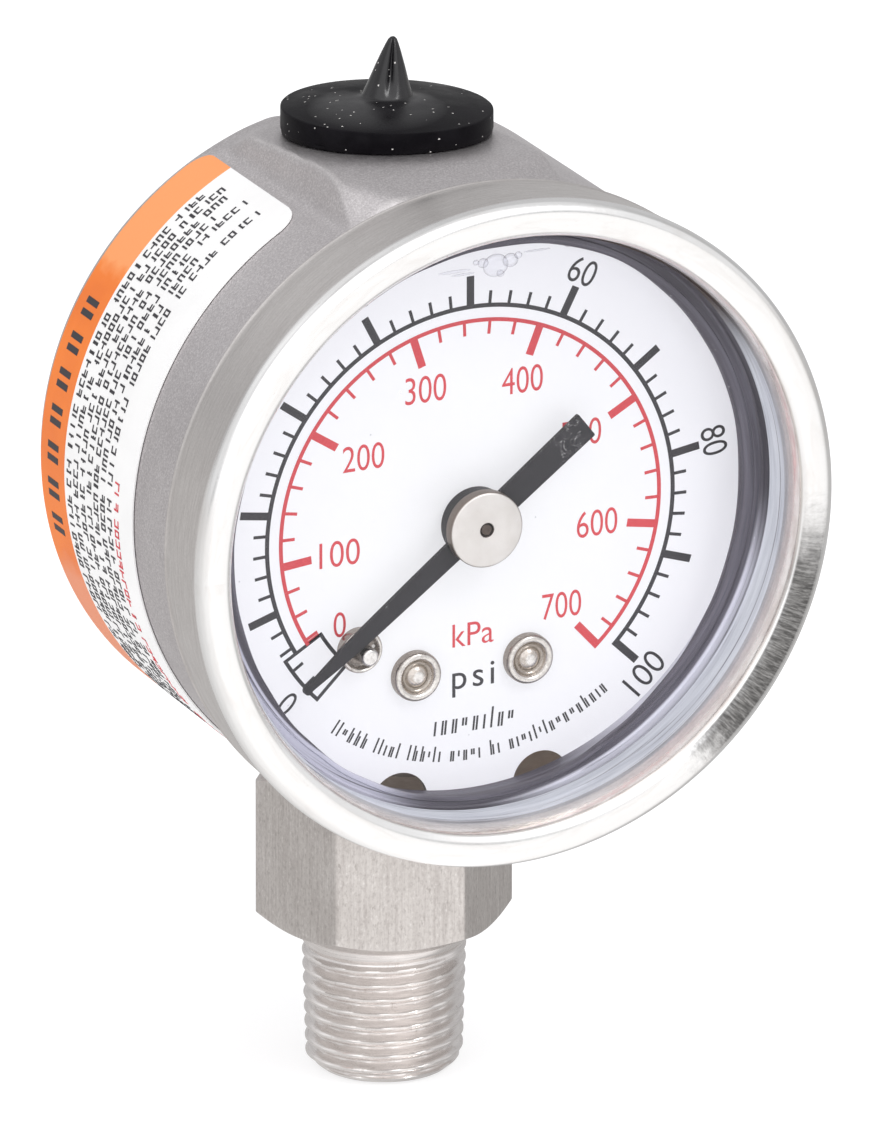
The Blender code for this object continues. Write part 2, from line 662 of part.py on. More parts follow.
def sector_outline():
    pitch = 360.0 / SECTOR_TEETH
    mesh_turn = direction(SECTOR_AXIS, DIAL_CENTRE)
    low, high = mesh_turn - pitch * 9.5, mesh_turn + pitch * 2.5
    middle = (low + high) / 2
    root_r = SECTOR_PITCH_R - 1.2 * MODULE
    crest_r = SECTOR_PITCH_R + 0.85 * MODULE
    profile = ((0.5, root_r), (0.245, root_r), (0.2, SECTOR_PITCH_R), (0.09, crest_r),
               (-0.09, crest_r), (-0.2, SECTOR_PITCH_R), (-0.245, root_r))
    rim_inner_r = SECTOR_PITCH_R - 1.6
    hub_r = 1.75

    def arc(radius, turns):
        return [polar(SECTOR_AXIS, radius, turn) for turn in turns]

    points = []
    for k in range(-2, 10):
        points += tooth(SECTOR_AXIS, mesh_turn - pitch * k, pitch, profile)
    points += arc(root_r, (low,))
    # right side of the arm, hub, tail, hub, left side of the arm
    points += arc(rim_inner_r, (low, low + (high - low) * 0.33))
    points += arc(hub_r, (middle - 28, middle - 60, middle - 88))
    points += framed(SECTOR_AXIS, TAIL_REST, (
        (1.5, 0.95), (TAIL_R - 0.55, 0.8), (TAIL_R + 0.35, 0.8), (TAIL_R + 0.9, 0.35),
        (TAIL_R + 0.9, -0.35), (TAIL_R + 0.35, -0.8), (TAIL_R - 0.55, -0.8), (1.5, -0.95)))
    points += arc(hub_r, (-60, -90, -120, -150, -180, middle + 58 - 360, middle + 28 - 360))
    points += arc(rim_inner_r, (low + (high - low) * 0.67, high))
    return points


def build_sector():
    origin = at_y(SECTOR_AXIS, SECTOR_Y[0])
    loops = [sector_outline(), circle(16, 0.84, SECTOR_AXIS), circle(14, 0.42, TAIL_EYE)]
    add_part('sector_gear', plate(loops, *SECTOR_Y), BRASS, origin=origin)
    add_turned('sector_arbor', SECTOR_AXIS, SECTOR_ARBOR_PROFILE, 16, STEEL, origin)


# ---- pinion, collet, hairspring, stud ------------------------------------------------------
PINION_ARBOR_PROFILE = [
    (0.0, -15.0), (0.33, -15.0), (0.43, -14.9), (0.43, -13.1), (0.58, -13.1), (0.58, -7.1),
    (0.5, -7.1), (0.5, -5.55), (0.35, -5.55), (0.35, -4.5), (0.0, -4.5),
]
COLLET_PROFILE = [(0.65, -8.05), (1.3, -8.05), (1.3, -7.25), (0.65, -7.25)]
STUD_PROFILE = [(0.0, -8.2), (0.4, -8.2), (0.5, -8.1), (0.5, -5.47), (0.0, -5.47)]


def pinion_outline():
    pitch = 360.0 / PINION_TEETH
    gap_turn = direction(DIAL_CENTRE, SECTOR_AXIS)     # a gap faces the sector
    root_r = PINION_PITCH_R - 1.15 * MODULE
    crest_r = PINION_PITCH_R + 0.85 * MODULE
    profile = ((-0.27, root_r), (-0.2, PINION_PITCH_R), (-0.08, crest_r),
               (0.08, crest_r), (0.2, PINION_PITCH_R), (0.27, root_r))
    points = []
    for k in range(PINION_TEETH):
        points += tooth(DIAL_CENTRE, gap_turn + pitch * (k + 0.5), pitch, profile)
    return points


def build_pinion():
    arbor = add_turned('pinion_arbor', DIAL_CENTRE, PINION_ARBOR_PROFILE, 14, STEEL,
                       at_y(DIAL_CENTRE, -9.0))
    apply_tool(arbor, 'UNION', 'cut_pinion_teeth', plate([pinion_outline()], -9.5, -8.3))


def hairspring_mesh():
    inner_r, outer_r, turns, half_t = 1.38, 4.27, 3.6, 0.05
    segments = 76
    front, back = SPRING_Y
    verts, faces = [], []
    for i in range(segments + 1):
        t = i / segments
        turn = SPRING_END - 360.0 * turns * (1 - t)
        r = inner_r + (outer_r - inner_r) * t
        for radius, y in ((r - half_t, front), (r + half_t, front),
                          (r + half_t, back), (r - half_t, back)):
            verts.append(at_y(polar(DIAL_CENTRE, radius, turn), y))
    for i in range(segments):
        ring = list(range(4 * i, 4 * i + 4))
        faces += strip(ring, [k + 4 for k in ring])
    for first in (0, 4 * segments):
        faces.append(tuple(range(first, first + 4)))
    return verts, faces


def build_hairspring():
    origin = at_y(DIAL_CENTRE, SPRING_MID_Y)
    add_turned('spring_collet', DIAL_CENTRE, COLLET_PROFILE, 20, BRASS, origin)
    add_part('hairspring', hairspring_mesh(), BRONZE, origin=origin)
    stud = polar(DIAL_CENTRE, STUD_R, SPRING_END)
    add_turned('spring_stud', stud, STUD_PROFILE, 14, BRASS)


# ---- movement plates, pillars, screws ------------------------------------------------------
PILLAR_PROFILE = [
    (0.0, -9.1), (0.66, -9.1), (0.66, -9.77), (1.3, -9.77), (1.3, -5.48), (0.0, -5.48),
]
PILLAR_SCREW_PROFILE = [
    (0.0, -11.2), (0.95, -11.2), (1.1, -11.1), (1.1, -10.63), (0.6, -10.63), (0.6, -9.16),
    (0.0, -9.16),
]


def round_rect(x0, x1, z0, z1, r, n=4):
    corners = (((x1 - r, z0 + r), -90), ((x1 - r, z1 - r), 0),
               ((x0 + r, z1 - r), 90), ((x0 + r, z0 + r), 180))
    return [polar(centre, r, start + 90.0 * i / n)
            for centre, start in corners for i in range(n + 1)]


def movement_plate(pinion_hole_n, pinion_hole_r, screw_hole_r, screw_places, y_range):
    loops = [round_rect(-9.0, 10.0, 28.7, 45.0, 1.5),
             circle(pinion_hole_n, pinion_hole_r, DIAL_CENTRE), circle(16, 0.54, SECTOR_AXIS)]
    loops += [circle(14, screw_hole_r, place) for place in screw_places]
    return plate(loops, *y_range)


def build_movement_plates():
    mesh = movement_plate(18, 0.62, 0.68, PILLARS.values(), PLATE_FRONT_Y)
    front = add_part('movement_front_plate', mesh, BRASS)
    # posts that carry the dial, and the tapping holes in them
    screws = DIAL_SCREWS.values()
    apply_tool(front, 'UNION', 'cut_front_posts', cylinders(screws, 1.7, -12.19, -10.2, 14, 0.05))
    apply_tool(front, 'DIFFERENCE', 'cut_front_taps',
               cylinders(screws, 0.62, -13.0, -9.95, 10, 0.02))
    mesh = movement_plate(16, 0.39, 0.82, MOVE_SCREWS.values(), PLATE_BACK_Y)
    add_part('movement_back_plate', mesh, BRASS)


def screw_profile(head_r, head_front, head_back, shank_r, end):
    return [(0.0, head_front), (head_r * 0.55, head_front), (head_r * 0.92, head_front),
            (head_r, head_front + 0.1), (head_r, head_back), (shank_r, head_back),
            (shank_r, end - 0.15), (shank_r - 0.15, end), (0.0, end)]


def build_fixings():
    for side, place in PILLARS.items():
        add_turned('pillar_' + side, place, PILLAR_PROFILE, 16, BRASS)
        add_turned('pillar_screw_' + side, place, PILLAR_SCREW_PROFILE, 14, STEEL)
    move_screw = screw_profile(head_r=1.3, head_front=-6.3, head_back=-5.48,
                               shank_r=0.7, end=-2.2)
    for side, place in MOVE_SCREWS.items():
        add_turned('movement_screw_' + side, place, move_screw, 14, STEEL)
    case_screw = screw_profile(head_r=1.45, head_front=-5.75, head_back=-4.64,
                               shank_r=0.8, end=6.3)
    for side, place in CASE_SCREWS.items():
        add_turned('case_screw_' + side, place, case_screw, 14, STEEL)


# ---- dial, stop pin, dial screws -----------------------------------------------------------
STOP_PLACE = polar(DIAL_CENTRE, STOP_R, -90.0 - STOP_TURN)
STOP_PROFILE = [
    (0.0, -14.6), (0.5, -14.6), (0.58, -14.5), (0.58, -13.35), (1.4, -13.35), (1.4, -12.65),
    (0.58, -12.65), (0.58, -11.9), (0.0, -11.9),
]
DIAL_SCREW_PROFILE = [
    (0.0, -13.25), (0.45, -13.2), (0.75, -13.0), (0.95, -13.0), (1.25, -13.32), (1.5, -13.32),
    (1.6, -13.2), (1.6, -12.65), (0.58, -12.65), (0.58, -10.1), (0.0, -10.1),
]


def dial_outline():
    """Rim every 5 degrees with two round notches; each entry is (sorting angle, place)."""
    notches = []
    for side in (-1, 1):
        turn = -90.0 + side * NOTCH_TURN
        notches.append((turn, polar(DIAL_CENTRE, DIAL_R, turn)))
    points = []
    for i in range(72):
        turn = -90.0 + 5.0 * i
        place = polar(DIAL_CENTRE, DIAL_R, turn)
        if all(math.dist(place, centre) >= NOTCH_CLEAR for _, centre in notches):
            points.append((turn, place))
    half = math.degrees(2 * math.asin(NOTCH_R / 2 / DIAL_R))
    for turn, centre in notches:
        for i in range(9):
            # from the lower angle's side round the inside to the higher angle's side
            place = polar(centre, NOTCH_R, turn - 93.0 - 174.0 * i / 8)
            points.append((turn - half + 2 * half * i / 8, place))
    # the left notch sorts first, ahead of the rim's -90 and after its last point at 265
    points.sort()
    return [place for _, place in points]


def build_dial():
    loops = [dial_outline(), circle(20, 1.5, DIAL_CENTRE), circle(14, 0.62, STOP_PLACE)]
    loops += [circle(14, 0.72, place) for place in DIAL_SCREWS.values()]
    add_part('dial_plate', plate(loops, DIAL_Y, DIAL_Y + DIAL_T), DIAL_PAINT)
    add_turned('stop_pin', STOP_PLACE, STOP_PROFILE, 20, NICKEL)
    for side, place in DIAL_SCREWS.items():
        add_turned('dial_screw_' + side, place, DIAL_SCREW_PROFILE, 18, NICKEL, smooth=35)


# ---- pointer -------------------------------------------------------------------------------
# (along the pointer, across it) from the axis
NEEDLE_OUTLINE = [
    (2.25, -0.62), (10.6, -0.48), (14.6, -0.3), (15.0, -0.12), (15.0, 0.12), (14.6, 0.3),
    (10.6, 0.48), (2.25, 0.62),
]
COUNTERWEIGHT_OUTLINE = [(-2.22, 0.68), (-9.05, 0.83), (-9.05, -0.83), (-2.22, -0.68)]
BLADE_HUB_R = 2.35
POINTER_BOSS_PROFILE = [(0.92, -13.95), (2.3, -13.95), (2.3, -13.15), (0.92, -13.15)]
POINTER_HUB_PROFILE = [
    (0.45, -15.09), (2.27, -15.09), (2.37, -14.99), (2.37, -14.23), (0.9, -14.23),
    (0.9, -13.16), (0.45, -13.16),
]


def pointer_outline():
    edge = direction((0.0, 0.0), NEEDLE_OUTLINE[-1])
    span = 180 - 2 * edge - 2

    def hub_arc(start):
        return [polar((0.0, 0.0), BLADE_HUB_R, start + span * i / 9) for i in range(1, 9)]

    offsets = NEEDLE_OUTLINE + hub_arc(edge) + COUNTERWEIGHT_OUTLINE + hub_arc(edge - 178)
    return framed(DIAL_CENTRE, -90.0 - POINTER_REST, offsets)


def build_pointer():
    mesh = plate([pointer_outline(), circle(24, 0.92, DIAL_CENTRE)], -14.2, -13.9)
    blade = add_part('pointer_blade', mesh, BLACK_PAINT, origin=at_y(DIAL_CENTRE, -14.0))
    apply_tool(blade, 'UNION', 'cut_pointer_boss',
               revolve('y', DIAL_CENTRE, POINTER_BOSS_PROFILE, 24))
    add_turned('pointer_hub', DIAL_CENTRE, POINTER_HUB_PROFILE, 28, NICKEL,
               at_y(DIAL_CENTRE, -14.6))


# ---- label on the left of the case ---------------------------------------------------------
LABEL_Y = (-7.7, 6.15)
LABEL_TURN = (116.5, 243.0)   # degrees
LABEL_OFFSETS = (0.04, 0.14)  # inner and outer faces over the case


def label_mesh():
    columns, rows = 26, 2
    verts, faces = [], []
    for offset in LABEL_OFFSETS:
        for j in range(rows + 1):
            y = LABEL_Y[0] + (LABEL_Y[1] - LABEL_Y[0]) * j / rows
            for i in range(columns + 1):
                turn = LABEL_TURN[0] + (LABEL_TURN[1] - LABEL_TURN[0]) * i / columns
                verts.append(at_y(polar(CASE_CENTRE, case_radius(y) + offset, turn), y))
    width = columns + 1
    skin = width * (rows + 1)
    for j in range(rows):
        for i in range(columns):
            for p in (j * width + i, skin + j * width + i):
                faces.append((p, p + 1, p + width + 1, p + width))
    for i in range(columns):
        for p in (i, rows * width + i):
            faces.append((p, p + 1, skin + p + 1, skin + p))
    for j in range(rows):
        for p in (j * width, j * width + columns):
            faces.append((p, p + width, skin + p + width, skin + p))
    return verts, faces


def build_label():
    add_part('case_label', label_mesh(), LABEL_FILM, smooth=30)


build_case()
build_window()
build_fill_plug()
build_stem()
build_stem_fittings()
build_tube()
build_tube_tip()
build_link()
build_link_pins()
build_sector()
build_pinion()
build_hairspring()
build_movement_plates()
build_fixings()
build_dial()
build_pointer()
build_label()
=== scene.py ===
"""A liquid-filled pressure gauge on a threaded stem, built over its CAD pieces.

The stem stands on the Z axis with its thread down, the dial faces -Y and +X is to the right of
someone reading it.  Shapes are drawn in millimetres from the stem's axis at its lower end;
frame_point() turns them into the frame's metres.
"""
import bpy
import bmesh
import math
import json
import random
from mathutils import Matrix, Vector
from mathutils.geometry import tessellate_polygon


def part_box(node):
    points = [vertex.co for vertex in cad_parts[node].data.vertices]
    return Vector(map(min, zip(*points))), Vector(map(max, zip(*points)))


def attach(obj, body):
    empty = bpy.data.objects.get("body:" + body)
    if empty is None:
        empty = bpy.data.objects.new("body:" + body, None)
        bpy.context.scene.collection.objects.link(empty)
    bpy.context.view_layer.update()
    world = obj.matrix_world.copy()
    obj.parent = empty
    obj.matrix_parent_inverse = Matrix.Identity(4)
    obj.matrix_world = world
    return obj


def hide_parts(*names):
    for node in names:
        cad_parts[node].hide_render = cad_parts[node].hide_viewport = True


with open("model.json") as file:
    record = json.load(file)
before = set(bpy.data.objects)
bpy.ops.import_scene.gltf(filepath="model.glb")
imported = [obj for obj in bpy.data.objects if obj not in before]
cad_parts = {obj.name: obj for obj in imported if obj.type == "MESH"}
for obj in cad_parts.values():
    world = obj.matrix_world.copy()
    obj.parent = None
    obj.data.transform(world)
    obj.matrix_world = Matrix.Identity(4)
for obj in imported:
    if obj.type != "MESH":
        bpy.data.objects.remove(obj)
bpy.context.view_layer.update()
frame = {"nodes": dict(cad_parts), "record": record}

# ---------------------------------------------------------------------------------------------
# Places and sizes, in millimetres and degrees
# ---------------------------------------------------------------------------------------------
MM = 0.001


def extent_mm(part, axis):
    """Lowest and highest coordinate of a CAD piece along one axis."""
    low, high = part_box(part)
    return low[axis] * 1000, high[axis] * 1000


AXIS_Y = sum(extent_mm('socket_stem', 1)) / 2       # the stem's axis in the frame
DIAL_Z = sum(extent_mm('pointer_hub', 2)) / 2       # the pointer's axis
CASE_Z = sum(extent_mm('bezel_ring', 2)) / 2        # the case's axis
DIAL_Y = extent_mm('dial_plate', 1)[0] - AXIS_Y     # the dial's front face
CASE_FRONT_Y, CASE_BACK_Y = (y - AXIS_Y for y in extent_mm('case', 1))
STEM_AXIS = (0.0, 0.0)
CASE_AXIS = (0, CASE_Z)
POINTER_AXIS = (0.0, DIAL_Z)

CASE_R_BACK, CASE_R_FRONT = 20.2, 20.5
CASE_WALL = 0.8
CASE_EDGE_R = 1.5                                   # rounding at the back edge
BEZEL_REAR_Y = -13.4
PAD_H = 20.2                                        # sloping pad over the case's axis
PAD_NORMAL = (0.045, 0.10, 0.99396)
PAD_Z = CASE_Z + PAD_H
FILL_Y = -0.5                                       # the filling hole's axis
FILL_AXIS = (0, FILL_Y)
BACK_SCREWS = ((-4.4, 23.7), (4.4, 23.7))           # x, z

HEX_ACROSS_FLATS, HEX_TURN = 14.0, 13.5
HEX_LOW_Z, HEX_TOP_Z = 8.9, 19.3
HEX_FOOT_R = 5.2                                    # where the hexagon's cone meets the thread
THREAD_PITCH, THREAD_TOP_R, THREAD_TAPER, THREAD_DEPTH = 0.9407, 5.14, 1 / 32, 0.62
NECK_R = 6.3
COLUMN_HALF_Y, COLUMN_TOP_Z = 4.6, 32.5             # flats of the column inside the case
COLUMN_HOLES = ((-3.2, 30.5), (3.2, 30.5))          # x, z
TUBE_CENTRE, TUBE_R, TUBE_Y = (0.0, 40.3), 13.5, -0.6

DIAL_R = 18.45
DIAL_SCREWS = ((-3.8, 30.2), (3.8, 30.2))           # x, z
POINTER_REST = 52.4                                 # clockwise from straight down
STOP_ANGLE = math.radians(-90.0 - 46.1)
STOP = (10.58 * math.cos(STOP_ANGLE), DIAL_Z + 10.58 * math.sin(STOP_ANGLE))


# ---------------------------------------------------------------------------------------------
# Mesh helpers.  A part is a pair (vertices, faces).
# ---------------------------------------------------------------------------------------------
def frame_point(v):
    return (v[0] * MM, (v[1] + AXIS_Y) * MM, v[2] * MM)


def link(ob):
    bpy.context.scene.collection.objects.link(ob)
    return ob


def shade(me, angle):
    """Smooth shading with edges sharper than the angle kept."""
    me.shade_smooth()
    me.set_sharp_from_angle(angle=math.radians(angle))


def build(name, part, materials=(), smooth=30.0, face_materials=None):
    verts, faces = part
    me = bpy.data.meshes.new(name)
    me.from_pydata([frame_point(v) for v in verts], [], faces)
    for material in materials:
        me.materials.append(material)
    if face_materials:
        me.polygons.foreach_set('material_index', face_materials)
    bm = bmesh.new()
    bm.from_mesh(me)
    bmesh.ops.remove_doubles(bm, verts=bm.verts, dist=2e-8)
    bmesh.ops.dissolve_degenerate(bm, edges=bm.edges, dist=1e-9)
    bmesh.ops.recalc_face_normals(bm, faces=bm.faces)
    bm.to_mesh(me)
    bm.free()
    if smooth is not None:
        shade(me, smooth)
    return link(bpy.data.objects.new(name, me))


def seat(ob, slot=None, node=None, body='gauge_body'):
    """Hands an object to its moving body and, when given a slot, hides the CAD piece it stands for.
    """
    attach(ob, body)
    if slot:
        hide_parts(node)


def place(axis, centre, r, angle, height):
    """The point at a radius and angle about the Y or Z axis through centre."""
    across = centre[0] + r * math.cos(angle)
    other = centre[1] + r * math.sin(angle)
    return (across, height, other) if axis == 'y' else (across, other, height)


def revolve(axis, centre, profile, n, phase=0.0, shape=None):
    """Closed profile [(r, height)...] turned about the axis.

    shape(r, height, angle, index) may change a point's radius.
    """
    verts, faces, rings = [], [], []
    for j, (r, h) in enumerate(profile):
        if r <= 1e-9:
            rings.append([len(verts)] * n)
            verts.append(place(axis, centre, 0.0, 0.0, h))
            continue
        rings.append(list(range(len(verts), len(verts) + n)))
        for i in range(n):
            a = phase + 2 * math.pi * i / n
            verts.append(place(axis, centre, shape(r, h, a, j) if shape else r, a, h))
    for j, a in enumerate(rings):
        b = rings[(j + 1) % len(rings)]
        if a[0] == a[1] and b[0] == b[1]:
            continue
        for i in range(n):
            k = (i + 1) % n
            if a[0] == a[1]:
                faces.append((a[0], b[k], b[i]))
            elif b[0] == b[1]:
                faces.append((a[i], a[k], b[0]))
            else:
                faces.append((a[i], a[k], b[k], b[i]))
    return verts, faces


def cylinder(axis, centre, r, low, high, n, phase=0.0):
    return revolve(axis, centre, [(0.0, low), (r, low), (r, high), (0.0, high)], n, phase)


def resolve(value, where):
    """Lets a size be given as a number or as a function of place."""
    return value(where) if callable(value) else value


class Skin:
    """A surface through rings of points at fixed angles about an axis."""

    def __init__(self, axis, centre, angles):
        self.axis, self.centre, self.angles = axis, centre, angles
        self.verts, self.faces, self.rings = [], [], []

    def ring(self, height, radius):
        first = len(self.verts)
        for a in self.angles:
            r, h = resolve(radius, a), resolve(height, a)
            self.verts.append(place(self.axis, self.centre, r, a, h))
        self.rings.append(range(first, len(self.verts)))

    def wall(self, a, b):
        for i in range(len(a)):
            k = (i + 1) % len(a)
            self.faces.append((a[i], a[k], b[k], b[i]))

    def cap(self, ring):
        """Closes a flat ring with a fan."""
        height = self.verts[ring[0]][1 if self.axis == 'y' else 2]
        middle = len(self.verts)
        self.verts.append(place(self.axis, self.centre, 0.0, 0.0, height))
        for i in range(len(ring)):
            self.faces.append((ring[i], ring[(i + 1) % len(ring)], middle))


def circle(n, r, centre):
    return [(centre[0] + r * math.cos(2 * math.pi * i / n),
             centre[1] + r * math.sin(2 * math.pi * i / n)) for i in range(n)]


def plate(loops, front, back):
    """Flat plate facing -Y: an outline and its holes in x, z between two values of y."""
    flat = [p for loop in loops for p in loop]
    tris = tessellate_polygon([[Vector((p[0], p[1], 0.0)) for p in loop] for loop in loops])
    n = len(flat)
    verts = [(p[0], y, p[1]) for y in (front, back) for p in flat]
    faces = [tuple(t) for t in tris] + [tuple(i + n for i in reversed(t)) for t in tris]
    first = 0
    for loop in loops:
        for i in range(len(loop)):
            a, b = first + i, first + (i + 1) % len(loop)
            faces.append((a, b, b + n, a + n))
        first += len(loop)
    return verts, faces


def join(parts):
    verts, faces = [], []
    for part_verts, part_faces in parts:
        first = len(verts)
        verts += list(part_verts)
        faces += [tuple(i + first for i in f) for f in part_faces]
    return verts, faces


def rounded(points, radius, seg=3):
    """Rounds the corners of a closed profile."""
    out = []
    for i, point in enumerate(points):
        corner = Vector(point)
        before = Vector(points[i - 1]) - corner
        after = Vector(points[(i + 1) % len(points)]) - corner
        before.normalize()
        after.normalize()
        s, e = corner + before * radius, corner + after * radius
        for k in range(seg + 1):
            t = k / seg
            q = s * (1 - t) ** 2 + corner * 2 * t * (1 - t) + e * t * t
            out.append((q[0], q[1]))
    return out


def spline(points, step):
    """Catmull-Rom curve through the points, open ended."""
    out = []
    p = [Vector(q) for q in points]
    p = [p[0] * 2 - p[1]] + p + [p[-1] * 2 - p[-2]]
    for a, b, c, d in zip(p, p[1:], p[2:], p[3:]):
        n = max(2, int((c - b).length / step))
        for k in range(n):
            t = k / n
            q = 0.5 * ((2 * b) + (c - a) * t + (2 * a - 5 * b + 4 * c - d) * t * t
                       + (3 * b - a - 3 * c + d) * t ** 3)
            out.append((q[0], q[1]))
    out.append((p[-2][0], p[-2][1]))
    return out


def smoothstep(a, b, x):
    t = max(0.0, min(1.0, (x - a) / (b - a)))
    return t * t * (3 - 2 * t)


def boolean(ob, part, operation):
    """Applies a Boolean with a throw-away tool and leaves plain mesh behind."""
    tool = build('cut_tmp', part, smooth=None)
    modifier = ob.modifiers.new('b', 'BOOLEAN')
    modifier.operation, modifier.solver, modifier.object = operation, 'EXACT', tool
    depsgraph = bpy.context.evaluated_depsgraph_get()
    me = bpy.data.meshes.new_from_object(ob.evaluated_get(depsgraph))
    ob.modifiers.clear()
    me.name = ob.data.name + '_b'
    ob.data = me
    bpy.data.objects.remove(tool)


def bevel(ob, angle):
    """Softens the edges sharper than the angle by 0.05 mm."""
    modifier = ob.modifiers.new('edge', 'BEVEL')
    modifier.width, modifier.segments = 0.05 * MM, 2
    modifier.limit_method, modifier.angle_limit = 'ANGLE', math.radians(angle)


# ---------------------------------------------------------------------------------------------
# Shader helpers.  They all add to the tree last opened.
# ---------------------------------------------------------------------------------------------
tree = None


def open_tree(owner):
    """Empties the node tree of a material or world and makes it the one being built."""
    global tree
    owner.use_nodes = True
    tree = owner.node_tree
    tree.nodes.clear()


def node(kind, inputs=None, **settings):
    new = tree.nodes.new(kind)
    for key, value in settings.items():
        setattr(new, key, value)
    for key, value in (inputs or {}).items():
        socket = new.inputs[key]
        if isinstance(value, Out):
            tree.links.new(value.socket, socket)
        elif socket.type == 'RGBA' and len(value) == 3:
            socket.default_value = (*value, 1.0)
        else:
            socket.default_value = value
    return new


def out(kind, inputs=None, output=0, **settings):
    return Out(node(kind, inputs, **settings).outputs[output])


def calc(operation, first, second=0.0, clamp=False):
    return out('ShaderNodeMath', {0: first, 1: second}, operation=operation, use_clamp=clamp)


class Out:
    """A node's output.  Arithmetic on it adds Math nodes."""

    def __init__(self, socket):
        self.socket = socket

    def __add__(self, other):
        return calc('ADD', self, other)

    def __radd__(self, other):
        return calc('ADD', other, self)

    def __sub__(self, other):
        return calc('SUBTRACT', self, other)

    def __rsub__(self, other):
        return calc('SUBTRACT', other, self)

    def __mul__(self, other):
        return calc('MULTIPLY', self, other)

    def below(self, limit):
        return calc('LESS_THAN', self, limit)

    def ramp(self, start=0.35, end=0.7, bottom=0.0, top=1.0, smooth=False):
        """Runs from bottom at start to top at end; start to end defaults to a noise's spread."""
        return out('ShaderNodeMapRange',
                   {'Value': self, 'From Min': start, 'From Max': end,
                    'To Min': bottom, 'To Max': top}, 'Result',
                   interpolation_type='SMOOTHSTEP' if smooth else 'LINEAR', clamp=True)

    def vary(self, low, high):
        """Spreads a noise over a range of values."""
        return self.ramp(0.3, 0.7, bottom=low, top=high)


def mix(amount, first, second, mode='MIX'):
    """Mixes two colours."""
    return out('ShaderNodeMix', {0: amount, 6: first, 7: second}, 2,
               data_type='RGBA', blend_type=mode)


def mix_value(amount, first, second):
    return out('ShaderNodeMix', {0: amount, 2: first, 3: second}, data_type='FLOAT')


def mix_shader(amount, first, second):
    return out('ShaderNodeMixShader', {0: amount, 1: first, 2: second})


def stretched(vector, factors):
    return out('ShaderNodeVectorMath', {0: vector, 1: factors}, operation='MULTIPLY')


def noise(vector, scale=1.0, detail=3.0, rough=0.6, warp=0.0, stretch=None):
    if stretch:
        vector = stretched(vector, stretch)
    return out('ShaderNodeTexNoise', {'Vector': vector, 'Scale': scale, 'Detail': detail,
                                      'Roughness': rough, 'Distortion': warp})


def specks(vector, scale, size, share):
    """Scattered dust: a share of the cells of a cell pattern gets a speck."""
    cells = node('ShaderNodeTexVoronoi', {'Vector': vector, 'Scale': scale, 'Randomness': 1.0})
    near = Out(cells.outputs['Distance']).below(size)
    chance = out('ShaderNodeSeparateColor', {0: Out(cells.outputs['Color'])})
    return near * calc('GREATER_THAN', chance, 1.0 - share)


def bump(height, strength, normal=None):
    inputs = {'Height': height, 'Strength': strength, 'Distance': 0.02 * MM}
    if normal is not None:
        inputs['Normal'] = normal
    return out('ShaderNodeBump', inputs)


def xyz(vector):
    return [Out(socket) for socket in node('ShaderNodeSeparateXYZ', {0: vector}).outputs]


def from_axis(v, centre_z):
    """x, y and the height over a front-to-back axis."""
    x, y, z = xyz(v)
    return x, y, z - centre_z


def distance(across, up):
    return calc('SQRT', across * across + up * up)


def polar(across, up, along):
    """The place unrolled about an axis (angle x 20, radius, along), the angle and the radius."""
    angle = calc('ARCTAN2', up, across)
    radius = distance(across, up)
    unrolled = out('ShaderNodeCombineXYZ', {0: angle * 20.0, 1: radius, 2: along})
    return unrolled, angle, radius


def polar_y(v, centre_z):
    x, y, up = from_axis(v, centre_z)
    return *polar(x, up, y), y


def pointiness():
    return out('ShaderNodeNewGeometry', output='Pointiness')


def begin(name):
    """A new material, and the place in this script's millimetres."""
    material = bpy.data.materials.new(name)
    open_tree(material)
    place_m = out('ShaderNodeTexCoord', output='Object')
    place_mm = out('ShaderNodeVectorMath', {0: place_m, 'Scale': 1000.0}, operation='SCALE')
    return material, out('ShaderNodeVectorMath', {0: place_mm, 1: (0.0, AXIS_Y, 0.0)},
                         operation='SUBTRACT')


def surface(shader):
    node('ShaderNodeOutputMaterial', {0: shader})


def principled(material, colour, roughness, normal, metallic=1.0, **more):
    inputs = {'Base Color': colour, 'Metallic': metallic, 'Roughness': roughness,
              'Normal': normal}
    inputs.update((key.replace('_', ' '), value) for key, value in more.items())
    surface(out('ShaderNodeBsdfPrincipled', inputs))
    return material


def emission(colour, strength):
    return out('ShaderNodeEmission', {0: colour, 1: strength})


def glossy(colour, roughness, **more):
    return out('ShaderNodeBsdfGlossy', {'Color': colour, 'Roughness': roughness, **more})


